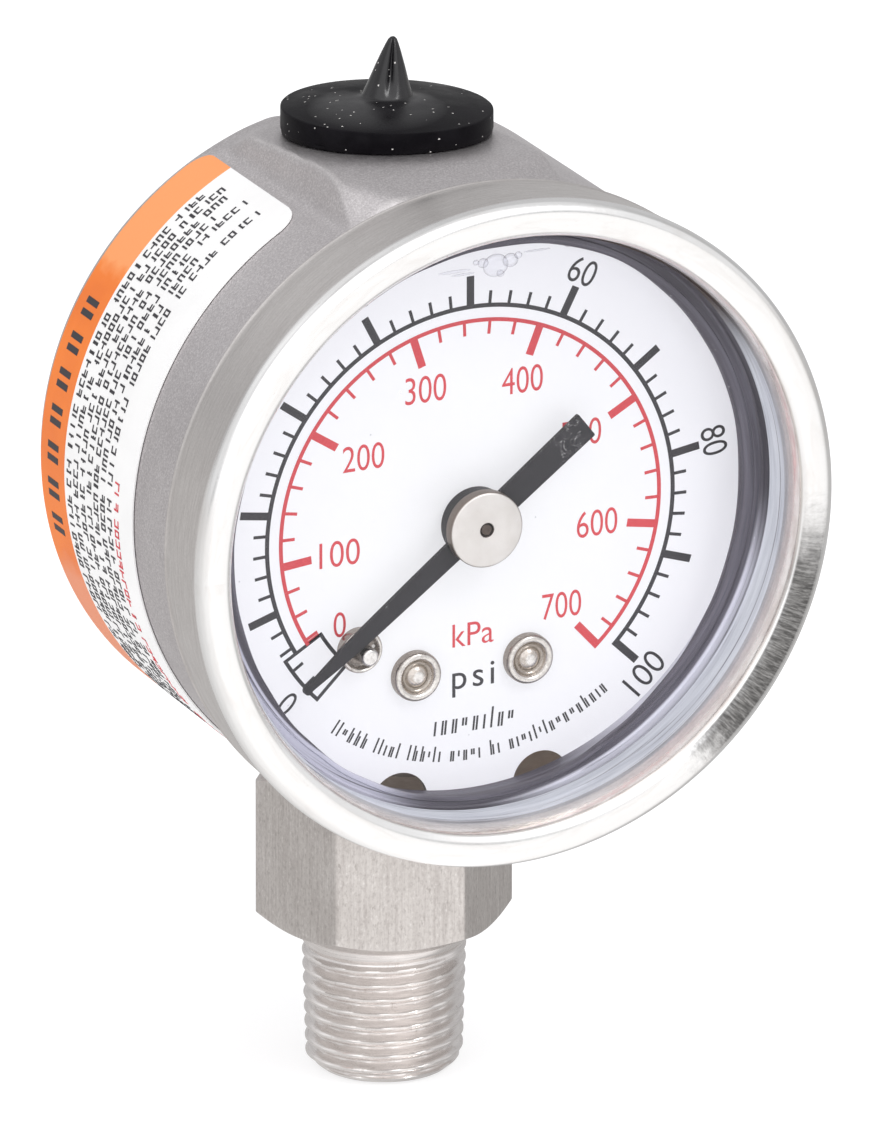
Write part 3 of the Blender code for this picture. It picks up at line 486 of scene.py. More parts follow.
# ---------------------------------------------------------------------------------------------
# Materials
# ---------------------------------------------------------------------------------------------
def metal(name, base, dark, rough, grain, relief, mottle, edge=0.0, lines=None, tint=None,
          glow=None):
    """Metal with grain and soft mottles.

    grain and lines stretch their noises, relief is the grain's height and mottle its scale;
    edge brightens rubbed edges, tint adds stains and glow a faint painted light, as emission.
    """
    material, v = begin(name)
    grains = noise(v, detail=2.0, stretch=grain)
    mottles = noise(v, scale=mottle, detail=4.0, warp=0.4)
    colour = mix(mottles.ramp(0.35, 0.68), base, dark)
    colour = mix(grains.vary(0.0, 1.0) * 0.5, colour, mix(0.5, colour, dark))
    if tint:
        colour = mix(noise(v, scale=0.12, warp=1.0).ramp(0.5, 0.72, top=0.8), colour, tint)
    roughness = noise(v, scale=2.3).vary(rough - 0.08, rough + 0.08) + mottles.vary(-0.04, 0.04)
    if edge:
        rubbed = pointiness().ramp(0.505, 0.56, top=edge)
        colour = mix(rubbed, colour, (0.95, 0.93, 0.9))
        roughness = roughness - rubbed * 0.12
    normal = bump(grains, strength=relief)
    if lines:
        brushed = noise(v, rough=0.65, stretch=lines)
        normal = bump(brushed, strength=0.2, normal=normal)
        colour = mix(brushed.ramp(top=0.25), colour, dark)
    light = dict(Emission_Color=glow, Emission_Strength=0.35) if glow else {}
    return principled(material, colour, roughness, normal, **light)


def rubber(name, base, rough, dust, grain=9.0, relief=0.25, shine=0.15, glossy_from=None):
    """Dusty rubber, glossier above the height glossy_from."""
    material, v = begin(name)
    grains = noise(v, scale=grain)
    blotch = noise(v, scale=0.5)
    colour = mix(blotch.ramp(), base, [c * 1.6 + 0.004 for c in base])
    round_dust = specks(v, scale=2.6, size=0.15, share=dust)
    flat_dust = specks(stretched(v, (1.0, 2.6, 1.7)), scale=1.7, size=0.13, share=dust)
    colour = mix(calc('ADD', round_dust, flat_dust, clamp=True), colour, (0.62, 0.6, 0.58))
    roughness = blotch.vary(rough - 0.08, rough + 0.08)
    if glossy_from:
        upper = xyz(v)[2].ramp(glossy_from - 0.2, glossy_from + 0.3)
        roughness = roughness - upper * 0.17
        shine = upper * 0.5 + shine
    return principled(material, colour, roughness, bump(grains, strength=relief), metallic=0.0,
                      Specular_IOR_Level=shine)


def case_steel():
    material, v = begin('bead_blasted_steel')
    grain = noise(v, scale=7.5, detail=2.0, rough=0.7)
    blotch = noise(v, scale=0.16, detail=4.0, warp=0.5)
    colour = mix(blotch.ramp(0.35, 0.68), (0.67, 0.64, 0.645), (0.60, 0.57, 0.575))
    # dark and bright points left by the blasting
    colour = mix(grain.ramp(0.40, 0.64, top=0.50), colour, (0.40, 0.38, 0.385))
    colour = mix(grain.ramp(0.44, 0.34, top=0.30), colour, (0.86, 0.84, 0.84))
    # short rub marks and rubbed edges, kept off the middle of the back
    marks = noise(v, scale=1.1, detail=4.0, rough=0.7, warp=0.8, stretch=(0.5, 3.2, 0.5))
    patches = noise(v, scale=0.35, detail=2.0, rough=0.55)
    x, y, up = from_axis(v, CASE_Z)
    side = calc('MAXIMUM', y.ramp(CASE_BACK_Y - 0.2, CASE_BACK_Y - 0.5),
                distance(x, up).ramp(16.5, 17.0))
    rubs = marks.ramp(0.66, 0.72) * patches.ramp(0.55, 0.65) * side
    colour = mix(rubs * 0.6, colour, (0.30, 0.28, 0.27))
    colour = mix(pointiness().ramp(0.51, 0.58, top=0.5) * side, colour, (0.8, 0.78, 0.76))
    roughness = noise(v, scale=2.6).vary(0.42, 0.5) + blotch.vary(-0.03, 0.03)
    return principled(material, colour, roughness, bump(grain, strength=0.8))


def bezel_steel():
    """Satin skirt, polished front with a faint stain and a painted dark reflection, brushed across
    the ring in short strokes.
    """
    material, v = begin('rolled_bezel_steel')
    unrolled, angle, radius, y = polar_y(v, CASE_Z)
    front = y.ramp(-18.55, -18.95, smooth=True)
    brushing = noise(unrolled, scale=1.6, stretch=(0.35, 1.0, 3.2))
    grain = noise(v, scale=6.5, detail=2.0, rough=0.65)
    strokes_ = noise(unrolled, stretch=(5.5, 1.2, 1.0))
    satin = mix(brushing.ramp(), (0.72, 0.69, 0.675), (0.61, 0.58, 0.565))
    satin = mix(grain.ramp(top=0.25), satin, (0.38, 0.36, 0.34))
    # polished front: stain and spots
    stain = noise(unrolled, scale=0.7, detail=4.0, warp=0.8, stretch=(0.28, 1.4, 0.6))
    polished = mix(stain.ramp(0.48, 0.74, top=0.6), (0.93, 0.925, 0.92), (0.82, 0.79, 0.77))
    spots = noise(unrolled, scale=1.8, rough=0.7, stretch=(1.0, 3.0, 1.0))
    polished = mix(spots.ramp(0.66, 0.78, top=0.35), polished, (0.66, 0.60, 0.55))
    # painted reflection: a streaked dark patch at the lower right, with wavering ends
    waver = (noise(unrolled, rough=0.7, stretch=(1.6, 1.0, 1.0)) - 0.5) * 0.22
    around = angle + waver
    dark_reflection = (around.ramp(-0.98, -0.78, smooth=True) * around.ramp(0.02, -0.30, smooth=True)
             * (radius.ramp(19.36, 19.46) * radius.ramp(21.05, 20.80)))
    streaks = noise(unrolled, detail=4.0, rough=0.75, stretch=(6.5, 0.9, 0.5))
    dark_reflection_colour = mix(streaks.ramp(0.40, 0.64), (0.10, 0.098, 0.096), (0.33, 0.325, 0.32))
    polished = mix(dark_reflection, polished, dark_reflection_colour)
    # inner lip, and painted shade in the crease round it
    clouds = noise(unrolled, scale=1.3, stretch=(0.3, 2.0, 1.0))
    lip = mix(clouds.ramp(0.4, 0.65), (0.66, 0.60, 0.57), (0.80, 0.76, 0.73))
    crease = radius.ramp(19.22, 19.30) * radius.ramp(19.44, 19.36)
    lip = mix(crease * 0.55, lip, (0.33, 0.29, 0.27))
    polished = mix(radius.ramp(19.36, 19.24), polished, lip)
    roughness = mix_value(front, brushing.vary(0.30, 0.40), strokes_.vary(0.13, 0.24))
    normal = bump(grain, strength=(1.0 - front) * 0.35)
    normal = bump(strokes_, strength=front * 0.22, normal=normal)
    return principled(material, mix(front, satin, polished), roughness, normal)


def window_clear():
    """Clear sheet with soft smears in its reflection and a little dust."""
    material, v = begin('clear_window')
    smear = noise(v, scale=0.35, detail=4.0, warp=1.0, stretch=(0.6, 1.0, 1.4))
    dust = specks(v, scale=0.55, size=0.06, share=0.05)
    outside = 1.0 - out('ShaderNodeNewGeometry', output='Backfacing')
    mirror = calc('MULTIPLY', out('ShaderNodeFresnel', {'IOR': 1.45}), outside, clamp=True)
    clear = out('ShaderNodeBsdfTransparent', {0: (0.985, 0.988, 0.995)})
    shine = glossy((1, 1, 1), smear.ramp(0.4, 0.7, bottom=0.02, top=0.14))
    dusty = out('ShaderNodeBsdfDiffuse', {0: (0.8, 0.8, 0.8)})
    surface(mix_shader(dust * outside * 0.35, mix_shader(mirror, clear, shine), dusty))
    return material


def window_rim():
    """Painted light: the rim glows with light it would carry round from the dial, pale at the right
    and below, dark on top.
    """
    material, v = begin('window_rim')
    unrolled, angle, _, _ = polar_y(v, CASE_Z)
    clouds = noise(unrolled, scale=1.2, stretch=(0.14, 1.0, 1.6))
    lines = noise(unrolled, stretch=(0.07, 1.0, 4.5))
    pale = mix(clouds.ramp(), (0.80, 0.82, 0.90), (0.58, 0.60, 0.68))
    # thin dark lines in the painted light, standing for reflected dial marks
    pale = mix(lines.ramp(0.58, 0.66, top=0.8), pale, (0.20, 0.19, 0.22))
    dark = mix(clouds.ramp(), (0.05, 0.045, 0.05), (0.12, 0.09, 0.075))
    colour = mix(angle.ramp(0.30, 0.75, smooth=True), pale, dark)
    mirror = glossy((0.9, 0.92, 0.97), 0.08, Normal=bump(lines, strength=0.2))
    # the glow is painted light; the glossy part is a real mirror
    surface(mix_shader(0.22, emission(colour, strength=0.98), mirror))
    return material


def dial_white():
    """White enamel with dust; its front glows a little, painted light standing in for light carried
    through the window and filling.
    """
    material, v = begin('white_dial')
    x, _, up = from_axis(v, DIAL_Z)
    grain = noise(v, scale=14.0, detail=2.0)
    # painted shade: a little darker and bluer towards the edge
    colour = mix(distance(x, up).ramp(7.0, 18.4, smooth=True),
                 (0.905, 0.90, 0.91), (0.89, 0.88, 0.92))
    colour = mix(noise(v, scale=0.12).ramp(top=0.25), colour, (0.84, 0.84, 0.88))
    dust = calc('ADD', specks(v, scale=0.9, size=0.055, share=0.1),
                specks(v, scale=2.0, size=0.06, share=0.02), clamp=True)
    colour = mix(dust * 0.55, colour, (0.42, 0.42, 0.45))
    # painted light: only the front glows
    facing_front = xyz(out('ShaderNodeNewGeometry', output='Normal'))[1].below(-0.4)
    return principled(material, mix(1.0, colour, (0.34, 0.34, 0.34), 'MULTIPLY'),
                      grain.vary(0.38, 0.5), bump(grain, strength=0.08), metallic=0.0,
                      Emission_Color=colour, Emission_Strength=facing_front * 0.70)


def ink(name, base, second):
    material, v = begin(name)
    grain = noise(v, scale=9.0, rough=0.7)
    return principled(material, mix(grain.ramp(), base, second), grain.vary(0.4, 0.55),
                      bump(grain, strength=0.12), metallic=0.0)


def pointer_paint():
    material, v = begin('pointer_black_paint')
    grain = noise(v, scale=8.0, rough=0.65)
    colour = mix(grain.ramp(), (0.020, 0.019, 0.023), (0.036, 0.034, 0.038))
    # hair-fine wandering scratches, on the broad tail only
    wander = noise(v, scale=0.9, detail=2.0, rough=0.5, warp=1.5, stretch=(1.0, 1.0, 1.0))
    hairline = calc('ABSOLUTE', wander - 0.5).below(0.0045)
    rest = math.radians(POINTER_REST)
    x, _, z = xyz(v)
    tailward = x * math.sin(rest) + (z - DIAL_Z) * math.cos(rest)
    tail = tailward.ramp(6.0, 6.6) * tailward.ramp(8.9, 8.6)
    colour = mix(hairline * tail * 0.75, colour, (0.45, 0.44, 0.44))
    dust = specks(v, scale=2.2, size=0.09, share=0.06)
    colour = mix(dust * 0.6, colour, (0.5, 0.5, 0.5))
    return principled(material, colour, grain.vary(0.42, 0.55), bump(grain, strength=0.25),
                      metallic=0.0, Specular_IOR_Level=0.2)


def stem_steel():
    """Brushed flats on the hexagon, brighter turned thread below."""
    material, v = begin('turned_stem_steel')
    unrolled, _, _ = polar(*xyz(v))
    hexagon = xyz(v)[2].ramp(HEX_LOW_Z - 0.05, HEX_LOW_Z + 0.25)
    lines = noise(v, detail=4.0, rough=0.7, stretch=(5.5, 5.5, 0.22))
    fine = noise(v, rough=0.65, stretch=(10.0, 10.0, 0.8))
    blotch = noise(v, scale=0.22, detail=4.0, rough=0.65, warp=0.6)
    turning = noise(unrolled, stretch=(0.10, 0.4, 9.0))
    pits = noise(v, scale=2.6, rough=0.7, stretch=(1.0, 1.0, 0.45)).ramp(0.63, 0.70)
    grain = noise(v, scale=6.0, rough=0.7, stretch=(1.0, 1.0, 0.55))
    flats = mix(blotch.ramp(), (0.68, 0.645, 0.62), (0.60, 0.565, 0.54))
    flats = mix(lines.ramp(0.42, 0.72) * 0.45, flats, (0.38, 0.34, 0.325))
    flats = mix(grain.ramp(0.5, 0.72, top=0.5), flats, (0.33, 0.30, 0.285))
    flats = mix(grain.ramp(0.42, 0.28, top=0.5), flats, (0.90, 0.87, 0.85))
    flats = mix(pits * 0.45, flats, (0.30, 0.27, 0.25))
    threads = mix(turning.ramp(), (0.88, 0.84, 0.82), (0.72, 0.68, 0.66))
    threads = mix(pits * 0.3, threads, (0.42, 0.36, 0.32))
    colour = mix(hexagon, threads, flats)
    colour = mix(pointiness().ramp(0.51, 0.57, top=0.35), colour, (0.92, 0.9, 0.88))
    roughness = mix_value(hexagon, turning.vary(0.20, 0.30), lines.vary(0.34, 0.46))
    normal = bump(lines, strength=hexagon * 0.32)
    normal = bump(fine, strength=hexagon * 0.22, normal=normal)
    normal = bump(turning, strength=(1.0 - hexagon) * 0.22, normal=normal)
    return principled(material, colour, roughness, normal)


def film(name, base, second, upper=None, lower=None):
    """Printed film; upper and lower are (colour, height) of recoloured ends with ragged limits,
    paler at the top and duller at the bottom.
    """
    material, v = begin(name)
    grain = noise(v, scale=11.0, rough=0.65)
    colour = mix(noise(v, scale=0.2).ramp(0.4, 0.65), base, second)
    if upper:
        height = xyz(v)[2] + noise(v, scale=0.7, detail=2.0, rough=0.55) * 2.0
        colour = mix(height.ramp(upper[1] - 0.5, upper[1] + 0.5), colour, upper[0])
        colour = mix(height.ramp(lower[1] + 1.0, lower[1] - 1.0), colour, lower[0])
    return principled(material, colour, grain.vary(0.42, 0.56), bump(grain, strength=0.12),
                      metallic=0.0)


def bubble_skin():
    """Clear in the middle, shiny round the edge, with a painted dark rim standing in for light bent
    away.
    """
    material, v = begin('bubble_skin')
    facing = out('ShaderNodeLayerWeight', {'Blend': 0.35}, 'Facing')
    clouds = noise(v, scale=4.0, detail=2.0)
    clear = out('ShaderNodeBsdfTransparent', {0: (0.97, 0.97, 0.98)})
    # painted shade: dark rim where the bubble bends light away
    dark = out('ShaderNodeBsdfDiffuse',
               {0: mix(clouds.ramp(), (0.16, 0.15, 0.17), (0.30, 0.29, 0.32))})
    body = mix_shader(facing.ramp(0.42, 0.85), clear, dark)
    shine = glossy((0.95, 0.95, 1), 0.05)
    surface(mix_shader(facing.ramp(0.0, 1.0, bottom=0.10, top=0.45), body, shine))
    return material


def seal_rubber():
    """Black ring seen through the filling, with painted reflections of the dial's light, pale along
    the bottom.
    """
    material, v = begin('seal_rubber')
    unrolled, angle, radius, _ = polar_y(v, CASE_Z)
    grain = noise(v, scale=5.0)
    lines = noise(unrolled, detail=2.0, rough=0.5, stretch=(0.10, 4.5, 4.5))
    fine = noise(unrolled, detail=2.0, rough=0.5, stretch=(0.06, 7.0, 7.0))
    colour = mix(lines.ramp(), (0.055, 0.048, 0.065), (0.13, 0.12, 0.15))
    # specks gathered on the mouth's edge at the upper right, then dust all over
    mouth = radius.ramp(17.62, 17.52) * (angle.ramp(0.15, 0.4) * angle.ramp(1.25, 1.0))
    gathered = specks(v, scale=5.0, size=0.16, share=0.35) * mouth
    colour = mix(gathered * 0.8, colour, (0.8, 0.78, 0.76))
    colour = mix(specks(v, scale=2.1, size=0.10, share=0.03), colour, (0.6, 0.58, 0.58))
    # lower left: pale painted reflection of the dial's light
    left = angle.ramp(-2.98, -2.72, smooth=True) * angle.ramp(-1.78, -2.05, smooth=True)
    pale = mix(fine.ramp(0.60, 0.68), (0.52, 0.51, 0.60), (0.14, 0.13, 0.16))
    colour = mix(left * (radius.ramp(17.75, 17.85) * 1.0), colour, pale)
    # lower right: pale painted reflection of the dial's light, narrowing towards the bottom
    right = angle.ramp(-1.62, -1.25, smooth=True) * angle.ramp(-0.02, -0.42, smooth=True)
    pale = mix(fine.ramp(0.58, 0.68), (0.68, 0.67, 0.75), (0.36, 0.35, 0.40))
    narrowed = radius - angle.ramp(-0.9, -1.5, top=0.25)
    colour = mix(right * narrowed.ramp(18.40, 18.55), colour, pale)
    return principled(material, colour, grain.vary(0.36, 0.5), bump(grain, strength=0.2),
                      metallic=0.0, Specular_IOR_Level=0.3)


def turned(name, centre, rings):
    """Plated turned part seen face on; rings are (radius, colour) from the middle out, painted
    highlights and painted shade.
    """
    material, v = begin(name)
    x, _, z = xyz(v)
    clouds = noise(v, scale=3.2, detail=4.0, rough=0.65)
    grain = noise(v, scale=11.0, detail=2.0)
    radius = distance(x - centre[0], z - centre[1]) + (clouds - 0.5) * 0.10
    colour = mix(0.0, rings[0][1], rings[0][1])
    for edge, ring_colour in rings[1:]:
        colour = mix(radius.ramp(edge - 0.06, edge + 0.06), colour, ring_colour)
    colour = mix(clouds.ramp(0.45, 0.75, top=0.45), colour, (0.26, 0.22, 0.19))
    colour = mix(grain.ramp(0.55, 0.75, top=0.35), colour, (0.90, 0.87, 0.84))
    return principled(material, colour, clouds.vary(0.16, 0.30), bump(clouds, strength=0.25))


def hub_nickel():
    """Fine-turned face, with painted shade darkening its side and bore."""
    material, v = begin('hub_nickel')
    x, y, up = from_axis(v, DIAL_Z)
    radius = distance(x, up)
    grain = noise(v, scale=10.0, rough=0.65)
    pits = noise(v, scale=4.5, rough=0.7).ramp(0.66, 0.74)
    colour = mix(noise(v, scale=0.6).ramp(), (0.80, 0.765, 0.73), (0.72, 0.68, 0.64))
    colour = mix(pits * 0.5, colour, (0.40, 0.35, 0.31))
    colour = mix(grain.ramp(0.5, 0.75, top=0.3), colour, (0.90, 0.88, 0.86))
    # painted shade on the side and in the bore
    side = radius.ramp(2.33, 2.36) * y.ramp(-15.07, -15.0)
    colour = mix(side, colour, (0.20, 0.16, 0.135))
    colour = mix(radius.below(0.47), colour, (0.12, 0.09, 0.08))
    return principled(material, colour, grain.vary(0.36, 0.50), bump(grain, strength=0.3),
                      metallic=0.85)


CASE_STEEL = case_steel()
# the inside of the case glows faintly: painted light
INSIDE = metal('case_inside', base=(0.42, 0.37, 0.33), dark=(0.22, 0.175, 0.145), rough=0.38,
               grain=(5, 5, 5), relief=0.3, mottle=0.4, tint=(0.30, 0.19, 0.12),
               glow=(0.20, 0.15, 0.12))
BEZEL_STEEL = bezel_steel()
WINDOW = window_clear()
WINDOW_RIM = window_rim()
DIAL_WHITE = dial_white()
BLACK_INK = ink('black_print', (0.022, 0.020, 0.026), (0.034, 0.031, 0.038))
RED_INK = ink('red_print', (0.60, 0.040, 0.055), (0.68, 0.065, 0.08))
POINTER_PAINT = pointer_paint()
STEM_STEEL = stem_steel()
SEAL_RUBBER = seal_rubber()
PLUG_RUBBER = rubber('plug_rubber', base=(0.0035, 0.003, 0.0042), rough=0.40, dust=0.11,
                     grain=8.0, relief=0.3, shine=0.045, glossy_from=PAD_Z + 2.3)
GASKET_RUBBER = rubber('gasket_rubber', base=(0.016, 0.015, 0.015), rough=0.6, dust=0.01)

# radius, colour from the middle out: painted highlights on the rises and painted shade in the
# hollows and at the rim
SCREW_RINGS = ((0.0, (0.90, 0.87, 0.83)), (0.34, (0.62, 0.56, 0.50)), (0.70, (0.36, 0.31, 0.26)),
               (0.98, (0.58, 0.53, 0.48)), (1.14, (0.80, 0.76, 0.71)), (1.47, (0.30, 0.26, 0.23)))
STOP_RINGS = ((0.0, (0.90, 0.87, 0.84)), (0.50, (0.16, 0.14, 0.13)), (0.66, (0.22, 0.19, 0.17)),
              (1.0, (0.62, 0.57, 0.52)), (1.12, (0.78, 0.74, 0.69)), (1.32, (0.34, 0.30, 0.27)))
SCREW_LIGHT_AND_SHADE = [turned('plated_screw_' + side, centre, SCREW_RINGS)
                 for side, centre in zip(('left', 'right'), DIAL_SCREWS)]
STOP_LIGHT_AND_SHADE = turned('plated_stop', STOP, STOP_RINGS)
NICKEL = metal('nickel_plate', base=(0.80, 0.76, 0.70), dark=(0.62, 0.56, 0.49), rough=0.22,
               grain=(6, 6, 6), relief=0.12, mottle=0.9, edge=0.3)
ARBOR = metal('arbor_steel', base=(0.16, 0.125, 0.105), dark=(0.09, 0.07, 0.06), rough=0.4,
              grain=(9, 9, 9), relief=0.3, mottle=1.5)
HUB_NICKEL = hub_nickel()
STEEL = metal('small_part_steel', base=(0.66, 0.64, 0.62), dark=(0.50, 0.48, 0.46), rough=0.28,
              grain=(9, 2, 9), relief=0.2, mottle=0.6, edge=0.3)
BRASS = metal('movement_brass', base=(0.80, 0.58, 0.27), dark=(0.62, 0.42, 0.17), rough=0.30,
              grain=(3, 9, 3), relief=0.22, mottle=0.5, edge=0.4, lines=(0.8, 6.0, 9.0))
BRONZE = metal('tube_bronze', base=(0.70, 0.44, 0.27), dark=(0.52, 0.30, 0.17), rough=0.33,
               grain=(6, 6, 6), relief=0.2, mottle=0.35, edge=0.3)
PAPER = film('label_film', (0.90, 0.895, 0.89), (0.86, 0.855, 0.85))
ORANGE = film('label_band_orange', (0.86, 0.205, 0.018), (0.80, 0.175, 0.015),
              upper=((0.90, 0.33, 0.11), 54.0), lower=((0.80, 0.27, 0.13), 35.0))
BUBBLE = bubble_skin()

# ---------------------------------------------------------------------------------------------
# Case: a turned cup whose top is cut to a many-sided pad round the filling hole
# ---------------------------------------------------------------------------------------------
# normal, point on the plane with z over the case's axis; the first is the pad's top
PAD_FACES = (
    (PAD_NORMAL, (0.0, FILL_Y, PAD_H)),
    ((0.963, 0.0, 0.269), (6.7, 0.0, 20.0)),
    ((-0.963, 0.0, 0.269), (-7.8, 0.0, 20.5)),
    ((0.0, -0.12, 0.993), (0.0, -9.2, 21.07)),
    ((0.45, -0.42, 0.788), (6.2, -9.6, 20.75)),
    ((-0.45, -0.42, 0.788), (-7.4, -9.6, 21.3)),
    ((0.0, 0.45, 0.893), (0.0, 5.2, 19.62)),
    ((0.40, 0.45, 0.80), (5.9, 3.4, 19.8)),
    ((-0.40, 0.45, 0.80), (-7.0, 3.4, 20.2)),
)
PAD_PLANES = [(*normal, sum(n * p for n, p in zip(normal, point)))
              for normal, point in PAD_FACES]


def lean(part):
    """Turns a part drawn upright over the filling hole square to the sloping pad."""
    verts, faces = part
    turn = Vector((0.0, 0.0, 1.0)).rotation_difference(Vector(PAD_NORMAL))
    pivot = Vector((0.0, FILL_Y, PAD_Z))
    return [tuple(pivot + turn @ (Vector(v) - pivot)) for v in verts], faces


def case_radius(y):
    t = (y - BEZEL_REAR_Y) / (CASE_BACK_Y - BEZEL_REAR_Y)
    return CASE_R_FRONT + (CASE_R_BACK - CASE_R_FRONT) * max(0.0, min(1.0, t))


def case_shape(angle, y, base, inset):
    """Radius of the wall: the base circle blended softly into the pad's faces."""
    c, s = math.cos(angle), math.sin(angle)
    if s < 0.6:
        return base

    def reach(plane):
        nx, ny, nz, d = plane
        return (d - inset - ny * y) / (nx * c + nz * s)

    reaches = [reach(plane) for plane in PAD_PLANES if plane[0] * c + plane[2] * s > 1e-6]
    low = min(reaches)
    sharpness = 7.0
    pad = low - math.log(sum(math.exp(-sharpness * (r - low))
                             for r in reaches if r - low < 2.0)) / sharpness
    blend = 0.55
    h = max(0.0, min(1.0, 0.5 + 0.5 * (pad - base) / blend))
    out_r = base + (pad - base) * h + blend * h * (1.0 - h)
    top = reach(PAD_PLANES[0])
    blend = 0.12
    h = max(0.0, min(1.0, 0.5 + 0.5 * (out_r - top) / blend))
    return out_r + (top - out_r) * h - blend * h * (1.0 - h)


def case_part():
    """The cup and the material index of each face (0 outside, 1 inside)."""
    # finer steps over the pad than round the rest
    angles = [math.radians(50.0 + 0.4 * i) for i in range(200)]
    angles += [math.radians(130.0 + 1.4 * i) for i in range(200)]
    skin = Skin('y', CASE_AXIS, angles)
    wall, edge = CASE_WALL, CASE_EDGE_R
    edge_y = CASE_BACK_Y - edge
    front = CASE_FRONT_Y
    for y, r in ((front, 19.72), (front, 20.66), (front + 0.06, 20.72), (front + 0.55, 20.72),
                 (front + 0.6, CASE_R_FRONT), (BEZEL_REAR_Y, CASE_R_FRONT)):
        skin.ring(y, r)
    y = -13.38
    while y < edge_y - 0.05:
        f = smoothstep(-13.9, -13.2, y)
        base = case_radius(y)
        skin.ring(y, lambda a: base * (1 - f) + case_shape(a, y, base, 0.0) * f)
        y += 0.3
    base = case_radius(edge_y)
    for k in range(9):
        turn = math.radians(90.0 * k / 8)
        scale = (base - edge + edge * math.cos(turn)) / base
        skin.ring(edge_y + edge * math.sin(turn),
                  lambda a: case_shape(a, edge_y, base, 0.0) * scale)
    # a faint shallow dish turned into the back
    for r, dy in ((17.6, 0.0), (17.3, -0.06), (16.9, -0.12), (9.0, -0.12), (3.0, -0.12)):
        skin.ring(CASE_BACK_Y + dy, r)
    outer = len(skin.rings)
    for r in (3.0, 9.0, 16.0):
        skin.ring(CASE_BACK_Y - wall - 0.05, r)
    edge_in = edge - wall * 0.6
    base = case_radius(edge_y) - wall
    for k in range(4, -1, -1):
        turn = math.radians(90.0 * k / 4)
        scale = (base - edge_in + edge_in * math.cos(turn)) / base
        skin.ring(CASE_BACK_Y - wall - edge_in + edge_in * math.sin(turn) - 0.05,
                  lambda a: case_shape(a, edge_y - 0.2, base, wall) * scale)
    y = 4.4
    while y > -12.0:
        skin.ring(y, lambda a: case_shape(a, y, case_radius(y) - wall, wall))
        y -= 1.0
    skin.ring(BEZEL_REAR_Y, 19.72)

    rings = skin.rings
    for j in range(len(rings)):
        if j != outer - 1:
            skin.wall(rings[j], rings[(j + 1) % len(rings)])
    skin.cap(rings[outer - 1])
    skin.cap(rings[outer])
    n = len(angles)
    indices = [0] * n * (outer - 1) + [1] * n * (len(rings) - outer) + [0] * n + [1] * n
    return (skin.verts, skin.faces), indices


def build_case():
    part, indices = case_part()
    case = build('case_shell', part, [CASE_STEEL, INSIDE], smooth=32, face_materials=indices)
    # boss under the case and the two studs on its back
    boss = [(0.0, 19.9), (7.08, 19.9), (7.2, 20.02), (7.2, 22.05), (0.0, 22.05)]
    boolean(case, revolve('z', STEM_AXIS, boss, 96, 0.043), 'UNION')
    boolean(case, join(cylinder('y', c, 1.97, 4.72, 7.3, 28, 0.24) for c in BACK_SCREWS), 'UNION')
    # holes for the neck, the plug and the studs
    boolean(case, cylinder('z', STEM_AXIS, 6.45, 15.0, 22.87, 96, 0.061), 'DIFFERENCE')
    hole = [(0.0, -4.2), (4.27, -4.2), (4.27, -0.12), (4.42, 0.03), (4.42, 2.4), (0.0, 2.4)]
    hole = [(r, PAD_Z + h) for r, h in hole]
    boolean(case, lean(revolve('z', FILL_AXIS, hole, 72, 0.037)), 'DIFFERENCE')
    boolean(case, join(cylinder('y', c, 0.85, 3.0, 6.45, 20, 0.07) for c in BACK_SCREWS),
            'DIFFERENCE')
    shade(case.data, 32)
    seat(case, 'blasted_steel', 'case')


build_case()

# ---------------------------------------------------------------------------------------------
# Bezel, window, seal: profiles of (radius, y)
# ---------------------------------------------------------------------------------------------
BEZEL_OUTER = [
    (20.99, -13.44), (21.045, -13.5), (21.05, -13.58), (21.0, -13.68), (21.0, -13.95),
    (21.12, -15.0), (21.28, -17.0), (21.41, -18.4), (21.44, -18.95), (21.33, -19.4),
    (21.0, -19.72), (20.5, -19.8), (20.0, -19.78), (19.62, -19.70), (19.36, -19.52)]
BEZEL_LIP = [(19.27, -19.40), (19.20, -19.28), (19.12, -19.0), (19.03, -18.6), (18.97, -18.15)]
BEZEL_REAR = [(20.62, -13.38), (20.86, -13.38), (20.93, -13.42)]
BEZEL_INNER = [
    (18.97, -15.78), (19.02, -15.75), (19.2, -15.75), (19.22, -15.8), (19.22, -18.3),
    (19.55, -19.1), (20.1, -19.3), (20.7, -19.2), (20.98, -18.6), (20.76, -14.6),
    (20.76, -14.02), (20.56, -13.92), (20.56, -13.44)]
bezel_profile = BEZEL_REAR + spline(BEZEL_OUTER, 0.09) + spline(BEZEL_LIP, 0.09) + BEZEL_INNER
seat(build('bezel', revolve('y', CASE_AXIS, bezel_profile, 288), [BEZEL_STEEL], smooth=38),
     'polished_steel', 'bezel_ring')

WINDOW_PROFILE = [
    (0.0, -18.1), (9.0, -18.1), (17.0, -18.1), (18.55, -18.1), (18.70, -18.06), (18.82, -17.96),
    (18.88, -17.82), (18.88, -16.8), (18.88, -15.7), (20.3, -15.7), (20.3, -15.3),
    (18.9, -15.3), (9.0, -15.3), (0.0, -15.3)]
WINDOW_STEPS = 256
# the rim is the three steps of the profile from its sixth point
window_faces = [1 if 5 <= j <= 7 else 0
                for j in range(len(WINDOW_PROFILE) - 1) for _ in range(WINDOW_STEPS)]
seat(build('window', revolve('y', CASE_AXIS, WINDOW_PROFILE, WINDOW_STEPS),
           [WINDOW, WINDOW_RIM], smooth=25, face_materials=window_faces),
     'window', 'window_lens')

SEAL_R = 17.2
